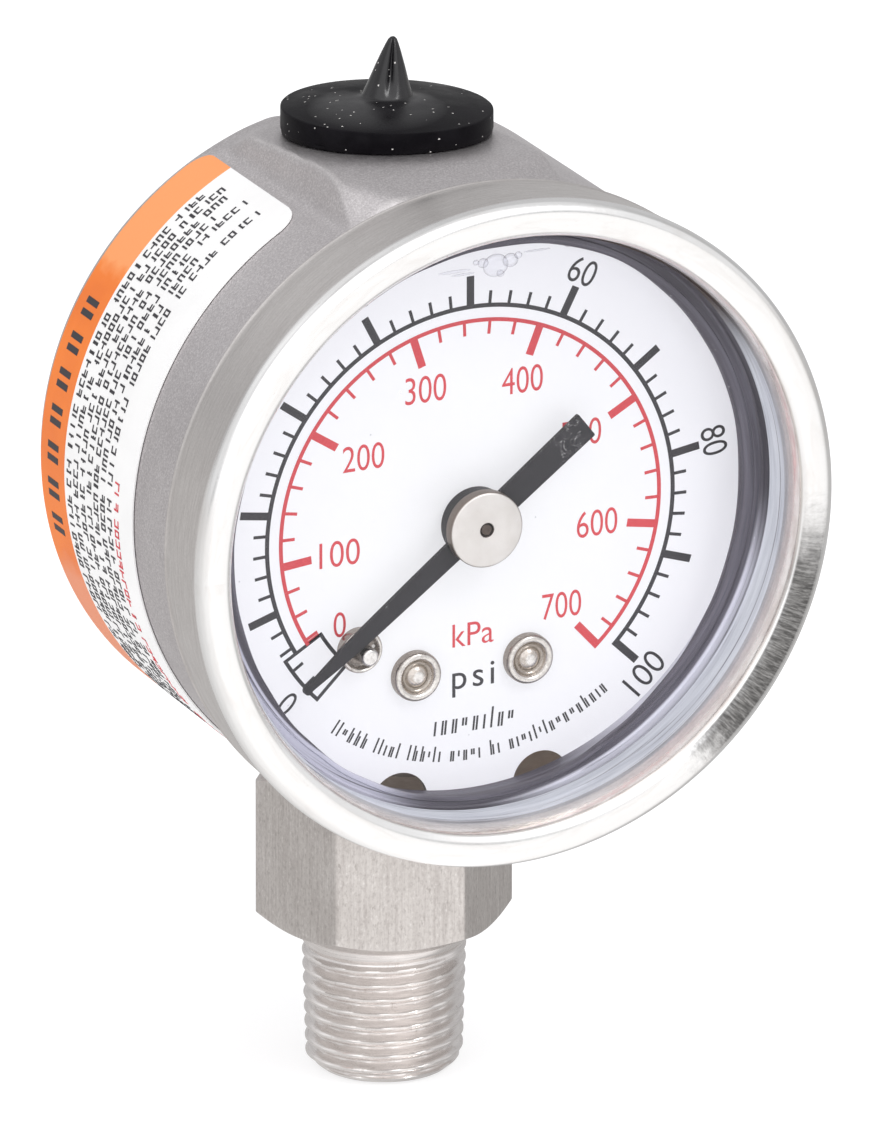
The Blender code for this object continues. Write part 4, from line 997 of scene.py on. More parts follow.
# The seal's mouth isn't quite round: its radius every 15 degrees, from the right over the top
SEAL_MOUTH = (17.15, 17.28, 17.32, 17.42, 17.58, 17.45, 17.2, 17.02, 16.84, 16.75, 16.76, 16.9,
              17.08, 17.18, 17.34, 17.62, 17.95, 18.18, 18.2, 18.1, 17.72, 17.48, 17.3, 17.2,
              17.15)
SEAL_PROFILE = [
    (SEAL_R, -14.84), (SEAL_R, -15.10), (17.24, -15.19), (17.33, -15.23), (18.02, -15.23),
    (18.10, -15.15), (18.56, -15.15), (18.66, -15.24), (20.3, -15.26), (20.3, -14.66),
    (19.2, -14.64), (19.15, -12.78), (18.55, -12.78), (18.55, -14.72), (17.5, -14.78),
    (17.3, -14.78)]


def seal_shape(r, h, angle, index):
    """Moves the mouth in and out, and the front face behind it by what is left over."""
    d = math.degrees(angle) % 360.0
    i = min(int(d // 15), 23)
    t = (d - 15 * i) / 15
    t = t * t * (3 - 2 * t)
    shift = SEAL_MOUTH[i] + (SEAL_MOUTH[i + 1] - SEAL_MOUTH[i]) * t - SEAL_R
    if index in (0, 1, 2, 3, 14, 15):
        return r + shift
    if index in (4, 5):
        return r + max(0.0, shift - 0.55)
    if index in (6, 7):
        return r + 0.5 * max(0.0, shift - 0.55)
    return r


seal_part = revolve('y', CASE_AXIS, SEAL_PROFILE, 240, shape=seal_shape)
seat(build('window_seal_ring', seal_part, [SEAL_RUBBER], smooth=34),
     'black_rubber', 'window_seal')

# ---------------------------------------------------------------------------------------------
# Filling plug: a flanged stopper with a pointed nib
# ---------------------------------------------------------------------------------------------
# radius, height over the pad
PLUG_PROFILE = [
    (0.0, -3.4), (3.55, -3.4), (3.72, -3.36), (4.2, -2.86), (4.22, -2.78), (4.22, 0.03),
    (6.36, 0.03), (6.46, 0.06), (6.50, 0.15), (6.50, 0.28), (6.53, 0.32), (6.56, 0.38),
    (6.56, 1.22), (6.55, 1.29), (6.49, 1.33), (6.40, 1.345), (5.6, 1.51), (4.6, 1.68),
    (3.6, 1.82), (2.7, 1.90), (2.0, 1.95), (1.72, 1.99), (1.60, 2.06), (1.54, 2.2),
    (1.30, 2.8), (0.93, 3.9), (0.62, 4.75), (0.40, 5.3), (0.27, 5.58), (0.14, 5.71), (0.0, 5.75)]


def plug_shape(r, h, angle, index):
    """Rounded mould groove down the front of the nib, and a small nick in the rim."""
    def turned_from(degrees):
        return (math.degrees(angle) - degrees + 180.0) % 360.0 - 180.0

    z = h - PAD_Z
    if 2.15 < z < 5.7:
        groove = math.exp(-(turned_from(251.0) / 13.0) ** 2)
        r -= 0.34 * groove * min(1.0, (z - 2.2) / 0.5) * min(1.0, r / 0.9)
    if 0.25 < z < 1.3 and r > 6.4:
        r -= 0.10 * math.exp(-(turned_from(205.0) / 4.0) ** 4)
    return r


def dense(profile, step):
    """Adds points along a profile so that none are further apart than about a step."""
    out_points = []
    for (r0, h0), (r1, h1) in zip(profile, profile[1:]):
        n = max(1, int(math.hypot(r1 - r0, h1 - h0) / step))
        for k in range(n):
            out_points.append((r0 + (r1 - r0) * k / n, h0 + (h1 - h0) * k / n))
    return out_points + [profile[-1]]


def crown(point):
    """The moulded flange is thicker towards the back, and the nib stands a little off upright."""
    x, y, z = point
    h = z - PAD_Z
    if h <= 0.3:
        return point
    flange = smoothstep(1.9, 3.4, math.hypot(x, y - FILL_Y))
    backward = max(0.0, min(1.0, (y - FILL_Y + 6.6) / 13.2))
    lift = (min(h, 1.33) - 0.3) / 1.03 * 0.66 * (backward * flange + 0.5 * (1.0 - flange))
    nib = max(0.0, h - 2.0)
    return (x + 0.091 * nib, y - 0.042 * nib, z + lift)


plug_profile = dense([(r, PAD_Z + h) for r, h in PLUG_PROFILE], 0.35)
plug_verts, plug_faces = revolve('z', FILL_AXIS, plug_profile, 144, shape=plug_shape)
plug_part = lean(([crown(v) for v in plug_verts], plug_faces))
seat(build('filling_plug', plug_part, [PLUG_RUBBER], smooth=38),
     'black_rubber', 'fill_plug', body='plug')


# ---------------------------------------------------------------------------------------------
# Stem: taper thread, hexagon, round neck and the flat-sided column in the case
# ---------------------------------------------------------------------------------------------
def stem_angles():
    """Even steps, with extra ones at the hexagon's corners and the column's flats."""
    degrees = [HEX_TURN - 30.0 + 2.5 * i for i in range(144)]
    for k in range(6):
        corner = HEX_TURN + 30.0 + 60.0 * k
        degrees += [corner + d for d in (-1.3, -0.7, -0.3, 0.3, 0.7, 1.3)]
    flat = math.degrees(math.asin(COLUMN_HALF_Y / NECK_R))
    degrees += [flat, 180.0 - flat, 180.0 + flat, 360.0 - flat]
    return [math.radians(v) for v in sorted(set(round(d % 360.0, 4) for d in degrees))]


def hex_radius(a):
    t = (math.degrees(a) - HEX_TURN) % 60.0
    t = min(t, 60.0 - t)
    r = HEX_ACROSS_FLATS / 2 / math.cos(math.radians(t))
    return r - 0.055 * max(0.0, 1.0 - (30.0 - t) / 1.3) ** 1.5


def thread_radius(a, z):
    crest = THREAD_TOP_R - THREAD_TAPER * (HEX_LOW_Z - z)
    phase = (z / THREAD_PITCH - a / (2 * math.pi)) % 1.0
    fade = max(0.0, min(1.0, (HEX_LOW_Z - 0.25 - z) / 1.1))
    cut = max(0.0, min(1.0, 1.30 * abs(2 * phase - 1.0) - 0.16))
    cut = cut * cut * (3 - 2 * cut) * 0.35 + cut * 0.65
    return min(crest - THREAD_DEPTH * 0.86 * fade * cut, 3.95 + 1.2 * z)


def stem_part():
    skin = Skin('z', STEM_AXIS, stem_angles())
    # bore from its top down, then the lower end
    for z, r in ((27.9, 0.75), (19.0, 0.75), (18.4, 1.7), (0.35, 1.7), (0.0, 2.05),
                 (0.0, 3.75), (0.03, 3.88)):
        skin.ring(z, r)
    rows = 140
    z0, z1 = 0.1, HEX_LOW_Z - 0.14
    for i in range(rows):
        z = z0 + (z1 - z0) * i / (rows - 1)
        skin.ring(z, lambda a: thread_radius(a, z))
    # cone under the hexagon
    foot, slope = HEX_FOOT_R, 1.95
    skin.ring(HEX_LOW_Z - 0.06, 5.13)
    skin.ring(HEX_LOW_Z, foot)
    for f in (0.25, 0.5, 0.75, 0.97, 1.0):
        skin.ring(lambda a: HEX_LOW_Z + (hex_radius(a) - foot) * f / slope,
                  lambda a: foot + (hex_radius(a) - foot) * f)
    skin.ring(lambda a: HEX_LOW_Z + (hex_radius(a) - foot) / slope + 0.05, hex_radius)
    for z in (11.0, 13.0, 15.0, 17.0):
        skin.ring(z, hex_radius)

    def chamfer_z(a):
        return HEX_TOP_Z - max(0.0, hex_radius(a) - 7.45) * 0.55 - 0.02

    def column_radius(a):
        return min(NECK_R, COLUMN_HALF_Y / max(1e-6, abs(math.sin(a))))

    skin.ring(lambda a: chamfer_z(a) - 0.05, hex_radius)
    skin.ring(chamfer_z, hex_radius)
    skin.ring(HEX_TOP_Z, lambda a: min(hex_radius(a) - 0.02, 7.45))
    skin.ring(HEX_TOP_Z, NECK_R)
    skin.ring(22.15, NECK_R)
    skin.ring(22.15, column_radius)
    skin.ring(COLUMN_TOP_Z - 0.3, column_radius)
    skin.ring(COLUMN_TOP_Z, lambda a: column_radius(a) - 0.3)
    for a, b in zip(skin.rings, skin.rings[1:]):
        skin.wall(a, b)
    skin.cap(skin.rings[0])
    skin.cap(skin.rings[-1])
    return skin.verts, skin.faces


def tube_slot():
    """Solid of the tube's oval section, swept about the tube's centre, that slots the column."""
    half_radial, half_y, n = 0.93, 2.53, 24
    start, end, seg = 228.0, 255.3, 12
    section = []
    for i in range(n):
        c, s = math.cos(2 * math.pi * i / n), math.sin(2 * math.pi * i / n)
        section.append((half_radial * math.copysign(abs(c) ** 0.8, c),
                        half_y * math.copysign(abs(s) ** 0.8, s)))
    verts, faces = [], []
    for j in range(seg + 1):
        a = math.radians(start + (end - start) * j / seg)
        verts += [place('y', TUBE_CENTRE, TUBE_R + u, a, TUBE_Y + v) for u, v in section]
    for j in range(seg):
        for i in range(n):
            p, q = j * n + i, j * n + (i + 1) % n
            faces.append((p, q, q + n, p + n))
    for j in (0, seg):
        faces.append(tuple(range(j * n, j * n + n)))
    return verts, faces


stem = build('stem', stem_part(), [STEM_STEEL])
boolean(stem, tube_slot(), 'DIFFERENCE')
boolean(stem, join([cylinder('y', c, 0.74, -6.0, -2.1, 20) for c in COLUMN_HOLES]
                   + [cylinder('y', c, 0.88, -6.0, 6.0, 20) for c in BACK_SCREWS]), 'DIFFERENCE')
shade(stem.data, 30)
seat(stem, 'machined_steel', 'socket_stem')

gasket_low = HEX_TOP_Z + 0.03
gasket_profile = rounded([(6.38, gasket_low), (7.12, gasket_low), (7.12, 19.87), (6.38, 19.87)],
                         radius=0.12)
seat(build('neck_gasket', revolve('z', STEM_AXIS, gasket_profile, 120), [GASKET_RUBBER],
           smooth=40), 'black_rubber', 'socket_gasket')


# ---------------------------------------------------------------------------------------------
# Dial plate, with two notches in its lower edge
# ---------------------------------------------------------------------------------------------
def dial_outline():
    notch_r, notches = 1.92, (-90.0 - 15.1, -90.0 + 15.1)

    def rim(degrees):
        a = math.radians(degrees)
        return (DIAL_R * math.cos(a), DIAL_R * math.sin(a))

    points = []                                     # (sorting angle, point)
    for i in range(240):
        a = -90.0 + 1.5 * i
        if all((Vector(rim(a)) - Vector(rim(q))).length > 1.99 for q in notches):
            points.append((a, rim(a)))
    half = math.degrees(2 * math.asin(notch_r / 2 / DIAL_R))
    for q in notches:
        cx, cz = rim(q)
        for i in range(25):
            b = math.radians(q - 93.0 - 174.0 * i / 24)
            points.append((q - half + 2 * half * i / 24,
                           (cx + notch_r * math.cos(b), cz + notch_r * math.sin(b))))
    points.sort(key=lambda p: p[0] if p[0] > -120 else p[0] + 360)
    return [(x, z + DIAL_Z) for _, (x, z) in points]


dial_loops = [dial_outline(), circle(64, 1.5, POINTER_AXIS), circle(40, 0.62, STOP)]
dial_loops += [circle(40, 0.72, c) for c in DIAL_SCREWS]
dial = build('dial', plate(dial_loops, DIAL_Y, DIAL_Y + 0.4), [DIAL_WHITE], smooth=None)
bevel(dial, 60)
seat(dial, 'dial_white', 'dial_plate')

# ---------------------------------------------------------------------------------------------
# Dial print: thin ink solids on the plate, placed clockwise from straight down
# ---------------------------------------------------------------------------------------------
INK_FRONT, INK_BACK = DIAL_Y - 0.022, DIAL_Y + 0.008
RED_ARC = (12.68, 12.93)
BLACK_ARC = (13.6, 13.87)
SCALE_START = 45.0
ARC_START = 59.0
ZERO_BOX = (45.4, 59.2, 11.66, 14.68)               # two angles, two radii
# text, x, z from the dial's centre, width, height
RED_NUMBERS = (
    ('0', -8.84, -5.6, 0.82, 1.62), ('100', -8.84, -0.96, 2.72, 1.68),
    ('200', -7.22, 5.04, 2.8, 1.68), ('300', -3.02, 8.84, 2.76, 1.74),
    ('400', 3.52, 8.5, 2.76, 1.72), ('500', 7.5, 4.46, 2.72, 1.7),
    ('600', 8.6, -1.56, 2.74, 1.7), ('700', 6.2, -6.56, 2.64, 1.68))
BLACK_NUMBER_WIDTHS = {1: 0.85, 2: 1.85, 3: 2.75}   # by count of digits


def dial_point(deg, r):
    a = math.radians(deg)
    return (-r * math.sin(a), DIAL_Z - r * math.cos(a))


def ink_plate(outline):
    return plate([outline], INK_FRONT, INK_BACK)


def bar(deg, r0, r1, width):
    """Radial bar."""
    a = math.radians(deg)
    outward = Vector((-math.sin(a), -math.cos(a)))
    n = Vector((-outward[1], outward[0])) * (width / 2)
    p0, p1 = Vector(dial_point(deg, r0)), Vector(dial_point(deg, r1))
    return ink_plate([tuple(p0 - n), tuple(p1 - n), tuple(p1 + n), tuple(p0 + n)])


def arc(d0, d1, r0, r1):
    n = max(2, int(abs(d1 - d0)))
    flat = [dial_point(d0 + (d1 - d0) * i / n, r) for r in (r1, r0) for i in range(n + 1)]
    verts = [(x, y, z) for y in (INK_FRONT - 0.006, INK_BACK + 0.004) for x, z in flat]
    m = n + 1
    faces = []
    for i in range(n):
        for a, b in ((0, m), (2 * m, 3 * m), (0, 2 * m), (m, 3 * m)):
            faces.append((a + i, a + i + 1, b + i + 1, b + i))
    for i in (0, n):
        faces.append((i, m + i, 3 * m + i, 2 * m + i))
    return verts, faces


def words(text, cx, cz, width, height, turn=0.0, thin=-0.006, gap=1.0):
    """Type in the built-in face, fitted to a width and height and turned about its middle."""
    curve = bpy.data.curves.new('type', 'FONT')
    curve.body = text
    curve.size = 1.0
    curve.resolution_u = 8
    curve.space_character = gap
    curve.offset = thin
    curve.extrude = 0.01
    ob = link(bpy.data.objects.new('type', curve))
    bpy.context.view_layer.update()
    depsgraph = bpy.context.evaluated_depsgraph_get()
    me = bpy.data.meshes.new_from_object(ob.evaluated_get(depsgraph))
    bm = bmesh.new()
    bm.from_mesh(me)
    bmesh.ops.remove_doubles(bm, verts=bm.verts, dist=1e-5)
    bm.to_mesh(me)
    bm.free()
    points = [v.co.copy() for v in me.vertices]
    faces = [tuple(p.vertices) for p in me.polygons]
    bpy.data.objects.remove(ob)
    x0, x1 = min(p.x for p in points), max(p.x for p in points)
    y0, y1 = min(p.y for p in points), max(p.y for p in points)
    c, s = math.cos(math.radians(turn)), math.sin(math.radians(turn))
    verts = []
    for p in points:
        u = (p.x - (x0 + x1) / 2) / (x1 - x0) * width
        v = (p.y - (y0 + y1) / 2) / (y1 - y0) * height
        verts.append((cx + u * c - v * s, INK_FRONT if p.z > 0 else INK_BACK,
                      cz + u * s + v * c))
    return verts, faces


def small_print(rng, length, height, step, gaps):
    """(position, low, high) of upright strokes along a line, with wider gaps at some."""
    strokes = []
    s, k = 0.0, 0
    while s < length:
        if k in gaps:
            s += step * 1.2
        low, high = (0.0, 0.68) if rng.random() < 0.55 else (0.0, 1.0)
        if rng.random() < 0.15:
            low, high = 0.3, 0.68
        strokes.append((s, low * height, high * height))
        if rng.random() < 0.5:
            strokes.append((s + step * 0.42, low * height, min(high, 0.68) * height))
            s += step * 0.42
        s += step
        k += 1
    return strokes


def black_print():
    parts = []
    for i in range(51):
        d = SCALE_START + 5.4 * i
        if i % 5:
            parts.append(bar(d, BLACK_ARC[0] + 0.1, 14.67, 0.2))
        elif i:
            parts.append(bar(d if i < 50 else d - 0.9, BLACK_ARC[0], 15.72, 0.5))
    parts.append(arc(ARC_START, 315.0, *BLACK_ARC))
    d0, d1, r0, r1 = ZERO_BOX
    parts += [arc(d0, d1, r1 - 0.24, r1), arc(d0, d1, r0, r0 + 0.24)]
    parts += [bar(d, r0, r1, 0.22) for d in (d0, d1)]
    parts.append(words('psi', 0.2, DIAL_Z - 10.52, 2.85, 2.0, gap=1.22, thin=0.0))
    for i, text in enumerate(('0', '20', '40', '60', '80', '100')):
        d = SCALE_START + 54.0 * i
        if i == 0:
            x, z = -12.42, DIAL_Z - 10.25
        else:
            x, z = dial_point(d, 17.2 if text == '40' else 16.75)
        turn = 180.0 - d if 0 < i < 5 else -d
        parts.append(words(text, x, z, BLACK_NUMBER_WIDTHS[len(text)], 1.66, turn=turn))
    # a straight and a curved line of plain strokes in place of small print
    rng = random.Random(7)
    width, slant = 0.13, 0.1
    for s, low, high in small_print(rng, 5.3, 1.35, 0.5, ()):
        x, z = -2.5 + s, DIAL_Z - 13.85
        shift = slant * (high - low)
        parts.append(ink_plate([(x, z + low), (x + width, z + low),
                                (x + width + shift, z + high), (x + shift, z + high)]))
    for s, low, high in small_print(rng, 19.4, 0.98, 0.36, (6, 11, 17, 22, 24)):
        d = math.degrees(s / 15.2) - 36.8
        parts.append(bar(-d, 15.72 - high, 15.72 - low, 0.11))
    return parts


def red_print():
    parts = []
    outer = RED_ARC[1]
    for i in range(36):
        d = SCALE_START + 39.16 / 5 * i
        if d < 58.0:
            continue
        if i % 5:
            parts.append(bar(d, 11.88, outer - 0.05, 0.2))
        else:
            parts.append(bar(d if i < 35 else d - 1.2, 10.8, outer - 0.02, 0.52))
    parts.append(bar(59.6, 11.88, outer - 0.05, 0.2))
    parts.append(arc(ARC_START, 319.1, *RED_ARC))
    for text, x, z, width, height in RED_NUMBERS:
        parts.append(words(text, x, DIAL_Z + z, width, height))
    parts.append(words('kPa', 0.18, DIAL_Z - 7.52, 2.78, 1.5, thin=-0.004))
    return parts


seat(build('dial_print_black', join(black_print()), [BLACK_INK], smooth=None))
seat(build('dial_print_red', join(red_print()), [RED_INK], smooth=None))

# ---------------------------------------------------------------------------------------------
# Dial screws and stop pin: profiles of (radius, y)
# ---------------------------------------------------------------------------------------------
SCREW_PROFILE = [
    (0.0, -13.30), (0.22, -13.29), (0.42, -13.24), (0.58, -13.15), (0.70, -13.02),
    (0.76, -12.92), (0.84, -12.90), (0.95, -12.93), (1.04, -13.05), (1.12, -13.22),
    (1.22, -13.31), (1.36, -13.33), (1.5, -13.27), (1.58, -13.14), (1.6, -12.98),
    (1.6, -12.66), (1.56, -12.64), (0.58, -12.64), (0.58, -10.1), (0.0, -10.1)]
STOP_PROFILE = [
    (0.0, -14.6), (0.34, -14.6), (0.46, -14.57), (0.55, -14.47), (0.57, -14.35), (0.57, -13.0),
    (0.62, -12.93), (0.98, -12.93), (1.06, -13.05), (1.14, -13.24), (1.25, -13.34),
    (1.33, -13.32), (1.4, -13.2), (1.42, -13.05), (1.42, -12.66), (1.38, -12.64),
    (0.58, -12.64), (0.58, -11.9), (0.0, -11.9)]
for node_name, centre, light_and_shade in zip(('dial_screw_left', 'dial_screw_right'), DIAL_SCREWS,
                                      SCREW_LIGHT_AND_SHADE):
    seat(build(node_name + '_head', revolve('y', centre, SCREW_PROFILE, 72), [light_and_shade],
               smooth=60), 'nickel', node_name)
seat(build('stop_pin_post', revolve('y', STOP, STOP_PROFILE, 72), [STOP_LIGHT_AND_SHADE], smooth=60),
     'nickel', 'stop_pin')

# ---------------------------------------------------------------------------------------------
# Pointer: blade, broad tail and round boss, then the cap over it
# ---------------------------------------------------------------------------------------------
# distance from the axis, half width
BLADE = ((2.2, 0.68), (6.0, 0.62), (9.6, 0.54), (12.0, 0.42), (14.1, 0.25), (14.5, 0.22))
TAIL = ((-2.1, 0.84), (-8.98, 0.92), (-9.05, 0.86))
HUB_PROFILE = [                                     # radius, y
    (0.44, -15.02), (0.5, -15.09), (1.2, -15.09), (2.27, -15.09), (2.36, -15.06),
    (2.42, -14.98), (2.42, -14.31), (2.38, -14.23), (0.9, -14.23), (0.9, -13.16), (0.44, -13.16)]


def pointer_outline():
    boss_r, tip_r = 2.3, 0.29
    start = math.degrees(math.atan2(0.68, 2.2))
    end = 180.0 - math.degrees(math.atan2(0.84, 2.1))

    def boss(first):
        turns = [math.radians(first + (end - start) * i / 16) for i in range(1, 16)]
        return [(boss_r * math.cos(a), boss_r * math.sin(a)) for a in turns]

    points = [(t, -w) for t, w in BLADE]
    for i in range(13):
        a = math.radians(-130 + 260 * i / 12)
        points.append((14.72 + tip_r * math.cos(a), tip_r * math.sin(a)))
    points += list(reversed(BLADE)) + boss(start)
    points += list(TAIL) + [(t, -w) for t, w in reversed(TAIL)]
    points += boss(180 + (180 - end))
    rest = math.radians(-90.0 - POINTER_REST)
    along = Vector((math.cos(rest), math.sin(rest)))
    across = Vector((-along[1], along[0]))
    return [(POINTER_AXIS[0] + along[0] * t + across[0] * w,
             POINTER_AXIS[1] + along[1] * t + across[1] * w) for t, w in points]


pointer = build('pointer', plate([pointer_outline(), circle(48, 0.92, POINTER_AXIS)],
                                 -14.2, -13.9), [POINTER_PAINT], smooth=None)
boss_profile = [(0.92, -13.95), (2.25, -13.95), (2.25, -13.2), (2.2, -13.15), (0.92, -13.15)]
boolean(pointer, revolve('y', POINTER_AXIS, boss_profile, 96, 0.01), 'UNION')
bevel(pointer, 50)
shade(pointer.data, 30)
seat(pointer, 'pointer_black', 'pointer_blade', body='pointer')
seat(build('pointer_cap', revolve('y', POINTER_AXIS, HUB_PROFILE, 120), [HUB_NICKEL], smooth=35),
     'nickel', 'pointer_hub', body='pointer')

# ---------------------------------------------------------------------------------------------
# Label wrapped on the left of the case: white film, orange band, rows of plain strokes
# ---------------------------------------------------------------------------------------------
LABEL_FRONT_Y, LABEL_BACK_Y = -7.7, 6.25
LABEL_START, LABEL_END = 116.5, 243.0               # degrees from the right, over the top
LABEL_CORNER_R = 1.7
WRAP_R = 20.25                                      # turns length round the case into angle
LABEL_LENGTH = math.radians(LABEL_END - LABEL_START) * WRAP_R
# y, start, gap left at the end
LABEL_ROWS = ((1.95, 2.5, 1.2), (0.92, 1.4, 1.2), (-0.11, 1.8, 1.2), (-1.14, 3.3, 1.0),
              (-2.17, 1.3, 1.0), (-3.2, 6.0, 1.0), (-4.23, 1.4, 1.5))


def wrap(s0, s1, y0, y1, lift0, lift1, ns, ny):
    """Thin closed sheet on the case wall.

    s is millimetres round the case from the label's start; y0 and y1 may be functions of it.
    """
    verts = []
    for lift in (lift0, lift1):
        for j in range(ny + 1):
            for i in range(ns + 1):
                s = s0 + (s1 - s0) * i / ns
                low, high = resolve(y0, s), resolve(y1, s)
                y = low + (high - low) * j / ny
                a = math.radians(LABEL_START) + s / WRAP_R
                verts.append(place('y', CASE_AXIS, case_radius(y) + lift, a, y))
    w = ns + 1
    o = w * (ny + 1)
    faces = []
    for j in range(ny):
        for i in range(ns):
            for p in (j * w + i, o + j * w + i):
                faces.append((p, p + 1, p + w + 1, p + w))
    for i in range(ns):
        for p in (i, ny * w + i):
            faces.append((p, p + 1, o + p + 1, o + p))
    for j in range(ny):
        for p in (j * w, j * w + ns):
            faces.append((p, p + w, o + p + w, o + p))
    return verts, faces


def corner_inset(s):
    """How far the rounded corners pull the edge in at position s."""
    d = min(s, LABEL_LENGTH - s)
    r = LABEL_CORNER_R
    return 0.0 if d >= r else r - math.sqrt(max(0.0, r * r - (r - d) ** 2))


def label_front(s):
    return LABEL_FRONT_Y + corner_inset(s)


def label_back(s):
    return LABEL_BACK_Y - corner_inset(s) * 0.6


seat(build('label', wrap(0.0, LABEL_LENGTH, label_front, label_back, 0.04, 0.14, 400, 10),
           [PAPER]), 'label_paper', 'case_label')
seat(build('label_band', wrap(0.0, LABEL_LENGTH, 2.67, lambda s: max(2.71, label_back(s)),
                              0.125, 0.150, 400, 4), [ORANGE]))


def stroke(s0, s1, y0, y1):
    return wrap(s0, s1, y0, y1, 0.125, 0.165, 1, 1)


def mark(rng, s, y, h, w, thick):
    """One abstract mark, w wide round the case and h along it: a handful of strokes."""
    kind = rng.randint(0, 6)
    low, high = y - h / 2, y + h / 2
    parts = []
    if kind in (0, 2, 4, 5, 6):
        parts.append(stroke(s, s + thick, low, high))
    if kind in (0, 1, 3, 5):
        parts.append(stroke(s + w - thick, s + w, low, high))
    if kind in (1, 2, 5, 3):
        parts.append(stroke(s, s + w, low, low + thick))
    if kind in (0, 1, 5):
        parts.append(stroke(s, s + w, high - thick, high))
    if kind in (3, 4):
        parts.append(stroke(s, s + w, y - thick / 2, y + thick / 2))
    return parts


def mark_row(rng, y, s, end, h=0.66, w=0.46, thick=0.13):
    parts = []
    while s < end:
        for _ in range(rng.randint(2, 9)):
            if s > end - w:
                return parts
            width = w if rng.random() < 0.8 else w * 0.45
            parts += mark(rng, s, y, h, width, thick)
            s += w + 0.16
        s += 0.42
    return parts


def build_label_marks():
    rng = random.Random(21)
    dark = []
    for y, start, gap in LABEL_ROWS:
        dark += mark_row(rng, y, start, LABEL_LENGTH - gap)
    red = mark_row(rng, -5.3, 20.5, LABEL_LENGTH - 1.5, h=0.62, w=0.50, thick=0.12)
    # a heading on the band: pairs of solid bars
    for i in range(7):
        s = 11.6 + 2.35 * i
        dark += [stroke(s, s + 0.42, 3.62, 5.2), stroke(s + 0.8, s + 1.22, 3.62, 5.2)]
    seat(build('label_marks_dark', join(dark), [BLACK_INK], smooth=None))
    seat(build('label_marks_red', join(red), [RED_INK], smooth=None))


build_label_marks()

# ---------------------------------------------------------------------------------------------
# Small bubbles at the top of the filling
# ---------------------------------------------------------------------------------------------
ROUND_BUBBLES = (                                   # x, z, radius
    (0.62, 56.86, 0.86), (1.62, 57.05, 0.52), (-0.22, 57.12, 0.36), (0.95, 56.3, 0.26),
    (2.15, 57.3, 0.26), (-0.7, 57.22, 0.2), (5.5, 57.6, 0.3), (6.1, 57.5, 0.18))
FLAT_BUBBLES = (                                    # x, z, radius along x, radius along z
    (-2.2, 56.85, 1.1, 0.10), (-1.6, 56.6, 0.8, 0.07), (3.4, 57.45, 0.9, 0.06))


def blob(centre, rx, ry, rz, n):
    """Ellipsoid with its poles along y."""
    cx, cy, cz = centre
    verts, faces = [], []
    rows = n // 2
    for j in range(1, rows):
        b = math.pi * j / rows
        for i in range(n):
            a = 2 * math.pi * i / n
            verts.append((cx + rx * math.sin(b) * math.cos(a), cy + ry * math.cos(b),
                          cz + rz * math.sin(b) * math.sin(a)))
    for j in range(rows - 2):
        for i in range(n):
            k = (i + 1) % n
            faces.append((j * n + i, j * n + k, (j + 1) * n + k, (j + 1) * n + i))
    pole = len(verts)
    verts += [(cx, cy + ry, cz), (cx, cy - ry, cz)]
    for i in range(n):
        k = (i + 1) % n
        faces.append((pole, i, k))
        faces.append((pole + 1, (rows - 2) * n + i, (rows - 2) * n + k))
    return verts, faces


bubbles = [blob((x, -14.93, z), r, 0.20 * min(1.0, r / 0.5) + 0.04, r * 0.85, 28)
           for x, z, r in ROUND_BUBBLES]
bubbles += [blob((x, -14.97, z), rx, 0.08, rz, 20) for x, z, rx, rz in FLAT_BUBBLES]
seat(build('bubbles', join(bubbles), [BUBBLE], smooth=60))

# ---------------------------------------------------------------------------------------------
# Finishes for the parts that keep their CAD shape
# ---------------------------------------------------------------------------------------------
SLOT_MATERIALS = {
    'blasted_steel': CASE_STEEL, 'polished_steel': BEZEL_STEEL, 'window': WINDOW,
    'black_rubber': GASKET_RUBBER, 'machined_steel': STEEL, 'dial_white': DIAL_WHITE,
    'nickel': NICKEL, 'pointer_black': POINTER_PAINT, 'bronze': BRONZE, 'yellow_brass': BRASS,
    'label_paper': PAPER}
for record in frame['record']['subparts']:
    ob = frame['nodes'].get(record['node'])
    if ob is None:
        continue
    finish = SLOT_MATERIALS.get(record['material_slot'], STEEL)
    if record['node'] == 'pinion_arbor':
        finish = ARBOR
    if not ob.material_slots:
        ob.data.materials.append(finish)
    for slot in ob.material_slots:
        slot.material = finish

# ---------------------------------------------------------------------------------------------
# Floor, light, camera: metres
# ---------------------------------------------------------------------------------------------
# Brightness of the floor in the metal, round from behind (0) past the left, the front (0.5) and
# the right to behind again (1)
FLOOR_GLOW = ((0.0, 0.60), (0.12, 0.68), (0.25, 0.80), (0.36, 0.98), (0.5, 1.16), (0.60, 1.08),
              (0.70, 0.54), (0.82, 0.52), (1.0, 0.60))
# Soft lights of the world: direction, cosines where each starts and is full, strength
SOFT_LIGHTS = (
    ((-0.35, -0.75, 0.65), 0.45, 0.85, 0.95),       # broad key, front and a little left
    ((0.2, -0.15, 1.0), 0.70, 0.92, 0.28),          # overhead
    ((0.85, -0.5, 0.35), 0.80, 0.95, 0.35),         # weak fill at the right
    ((-0.9, 0.35, 0.45), 0.75, 0.95, 0.30),         # rim from the left, behind
    ((0.3, 0.8, 0.5), 0.60, 0.95, 0.08),            # back light for the top of the rim
    ((-0.35, 0.7, 0.65), 0.86, 0.99, 0.26),         # upper left of the bezel's skirt
)


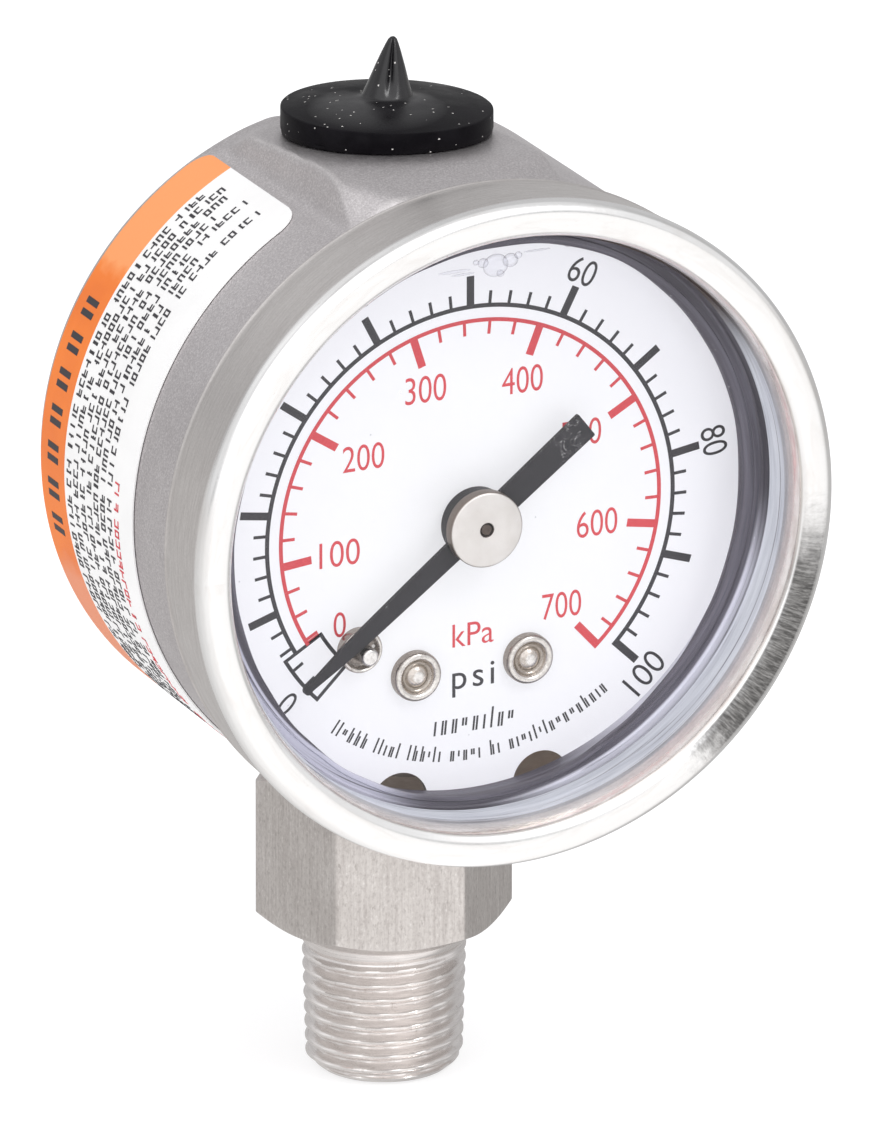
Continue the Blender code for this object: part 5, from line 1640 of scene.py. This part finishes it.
def floor_material():
    """Pale floor, unseen from below, that shows its own brightness in reflections."""
    material = bpy.data.materials.new('pale_floor')
    open_tree(material)
    geometry = node('ShaderNodeNewGeometry')
    x, y, _ = xyz(Out(geometry.outputs['Position']))
    angle = calc('ARCTAN2', x, y * -1.0)
    ramp = node('ShaderNodeValToRGB', {0: angle.ramp(-math.pi, math.pi)})
    stops = ramp.color_ramp
    stops.interpolation = 'EASE'
    while len(stops.elements) > 1:
        stops.elements.remove(stops.elements[0])
    stops.elements[0].position = FLOOR_GLOW[0][0]
    for position, _ in FLOOR_GLOW[1:]:
        stops.elements.new(position)
    for element, (_, value) in zip(stops.elements, FLOOR_GLOW):
        element.color = (value, value * 0.99, value * 0.985, 1.0)
    reflected = emission(Out(ramp.outputs[0]), strength=1.0)
    diffuse = out('ShaderNodeBsdfDiffuse', {0: (0.50, 0.50, 0.505)})
    seen = out('ShaderNodeAddShader', {0: diffuse, 1: emission((1, 1, 1), strength=0.62)})
    is_glossy = out('ShaderNodeLightPath', output='Is Glossy Ray')
    surface(mix_shader(Out(geometry.outputs['Backfacing']),
                       mix_shader(is_glossy, seen, reflected),
                       out('ShaderNodeBsdfTransparent')))
    return material


def build_floor():
    half, z = 6.0, -0.00002
    me = bpy.data.meshes.new('floor')
    me.from_pydata([(-half, -half, z), (half, -half, z), (half, half, z), (-half, half, z)],
                   [], [(0, 1, 2, 3)])
    me.materials.append(floor_material())
    link(bpy.data.objects.new('floor', me))


def build_world():
    """Soft lights over an even grey; the camera itself sees white."""
    world = bpy.data.worlds.new('studio')
    bpy.context.scene.world = world
    open_tree(world)
    view = out('ShaderNodeTexCoord', output='Generated')
    total = 0.50
    for direction, start, full, strength in SOFT_LIGHTS:
        cosine = out('ShaderNodeVectorMath', {0: view, 1: tuple(Vector(direction).normalized())},
                     'Value', operation='DOT_PRODUCT')
        total = total + cosine.ramp(start, full, smooth=True) * strength
    tone = out('ShaderNodeCombineXYZ', {0: total, 1: total, 2: total * 1.01})
    is_camera = out('ShaderNodeLightPath', output='Is Camera Ray')
    background = out('ShaderNodeBackground', {0: mix(is_camera, tone, (1.0, 1.0, 1.0)), 1: 1.0})
    node('ShaderNodeOutputWorld', {0: background})


def aim(ob, location, direction, up_axis='Y'):
    """Stands a light or camera at a place, looking along a direction."""
    ob.location = location
    ob.rotation_mode = 'QUATERNION'
    ob.rotation_quaternion = direction.to_track_quat('-Z', up_axis)


def build_key():
    light = bpy.data.lights.new('key', 'AREA')
    light.shape = 'DISK'
    light.size = 0.30
    light.energy = 1.6
    location = (0.25, -0.55, 0.65)
    aim(link(bpy.data.objects.new('key', light)), location,
        Vector((0.0, 0.0, 0.03)) - Vector(location))


def build_camera():
    camera = bpy.data.cameras.new('camera')
    ob = link(bpy.data.objects.new('camera', camera))
    backward = Vector((-0.3981, -0.8538, 0.3355)).normalized()
    target = Vector(frame_point((7.34, 8.03, 29.15)))
    aim(ob, target + backward * 2.012, -backward)
    camera.sensor_width = 36.0
    camera.lens = 1036.8
    camera.clip_start, camera.clip_end = 0.1, 100.0
    bpy.context.scene.camera = ob


build_floor()
build_world()
build_key()
build_camera()

view_settings = bpy.context.scene.view_settings
view_settings.view_transform = 'Standard'
view_settings.look = 'None'
view_settings.exposure = 0.0
view_settings.gamma = 1.0
